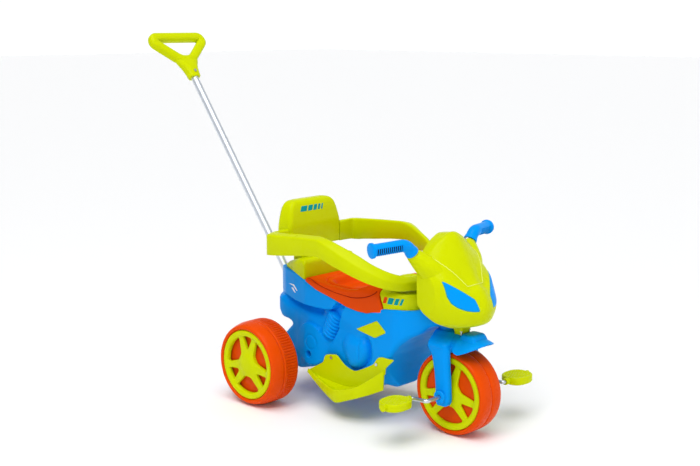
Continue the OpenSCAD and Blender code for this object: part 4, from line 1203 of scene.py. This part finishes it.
back_tree = tree_of("backrest_block")
MARK = [(-56, 24), (-28, 17), (-7, 13), (10, 9), (23, 6)]
for k, (start, long) in enumerate(MARK):
    stripe = slanted(start, 515, long, 15, 7)
    piece(f"back_mark_{k}", *projected(stripe, 80, 0, back_tree, 0.25, 3, 0.6), "teal", "chassis")
tank_tree = tree_of("tank_moulding")
TANK_MARK = [(368, 11, "orange"), (383, 16, "teal"), (403, 10, "teal"), (417, 6, "teal")]
CHEVRONS = [
    [(0, 315), (30, 318), (49, 303), (43, 303), (26, 313)], [(14, 306), (26, 308), (39, 296), (33, 296)],
]
for side, half in SIDES.items():
    for k, (start, long, paint) in enumerate(TANK_MARK):
        mark = projected(slanted(start, 325, long, 17, 6), side * 150, 1, tank_tree, 0.25, 3, 0.6)
        piece(f"tank_mark_{half}_{k}", *mark, paint, "chassis")
    tail_tree = tree_of(f"body_half_{half}")
    for k, shape in enumerate(CHEVRONS):
        mark = projected(shape, side * 150, 1, tail_tree, 0.25, 3, 0.6)
        piece(f"tail_mark_{half}_{k}", *mark, "white", "chassis")

# ------------------------------------------------------------ finishes on the frame's own nodes

NODE_PAINT = {
    "steel": [
        "body_screws", "seat_screws", "ring_screws", "footrest_screws", "rear_axle", "axle_spacer_right",
        "axle_spacer_left", "axle_push_nuts", "fender_screws", "handlebar", "handlebar_bolt", "mask_screws",
        "push_grip_screw",
    ],
    "tube": ["push_tube"],
    "nylon": ["head_bush_lower", "head_bush_upper", "fork_bushes"],
    "blue": ["column_cap", "push_socket"],
    "lime": ["mask_bracket", "pedal_nuts"],
}
for paint, nodes in NODE_PAINT.items():
    for node in nodes:
        mesh = frame["nodes"][node].data
        mesh.materials.clear()
        mesh.materials.append(MAT[paint])

# ------------------------------------------------------------ floor, light and camera


floor_mesh = bpy.data.meshes.new("floor")
REACH = 30
corners = [(-REACH, -REACH, 0), (REACH, -REACH, 0), (REACH, REACH, 0), (-REACH, REACH, 0)]
floor_mesh.from_pydata(corners, [], [(0, 1, 2, 3)])
floor_mesh.materials.append(new_shader("floor_white", Base_Color=(0.98, 0.98, 0.985, 1), Roughness=0.6)[0])
placed("floor", floor_mesh)

# The sky is brightest near the horizon, and dimmer to the left of the camera
DIM_SIDE = (-0.78, -0.62, 0)
world = bpy.data.worlds.new("studio")
bpy.context.scene.world = world
world.use_nodes = True
sky = world.node_tree
view = sky.nodes.new("ShaderNodeTexCoord").outputs["Generated"]
height = sky.nodes.new("ShaderNodeSeparateXYZ")
sky.links.new(view, height.inputs["Vector"])
side_on = sky.nodes.new("ShaderNodeVectorMath")
side_on.operation = "DOT_PRODUCT"
side_on.inputs[1].default_value = DIM_SIDE
sky.links.new(view, side_on.inputs[0])
fade = add_range(sky, height.outputs["Z"], 1.08, 0.48, 0.05, 0.45)
dim = add_range(sky, side_on.outputs["Value"], 1.0, 0.4, 0.3, 0.85)
power = sky.nodes.new("ShaderNodeMath")
power.operation = "MULTIPLY"
for k, ramp in enumerate((fade, dim)):
    ramp.interpolation_type = "SMOOTHSTEP"
    sky.links.new(ramp.outputs["Result"], power.inputs[k])
backdrop = sky.nodes["Background"]
sky.links.new(power.outputs["Value"], backdrop.inputs["Strength"])
backdrop.inputs["Color"].default_value = (0.98, 0.99, 1, 1)


key = bpy.data.lights.new("key", "AREA")
key.shape = "DISK"
key.size = 0.9
key.energy = 14
lamp = placed("key", key)
lamp.location = (1.0, -2.2, 2.6)
lamp.rotation_euler = (Vector((0.2, 0, 0.3)) - lamp.location).to_track_quat("-Z", "Y").to_euler()
sun = bpy.data.lights.new("sky_panel", "SUN")
sun.energy = 1.95
sun.angle = math.radians(50)
placed("sky_panel", sun).rotation_euler = (math.radians(18), math.radians(10), 0)

AIM = Vector((0.1601, 0, 0.4662))
camera_data = bpy.data.cameras.new("camera")
camera_data.lens = 59.14
camera = placed("camera", camera_data)
camera.location = (2.26643, -2.21570, 1.02629)
camera.rotation_euler = (AIM - camera.location).to_track_quat("-Z", "Y").to_euler()
bpy.context.scene.camera = camera
bpy.context.scene.view_settings.view_transform = "Standard"
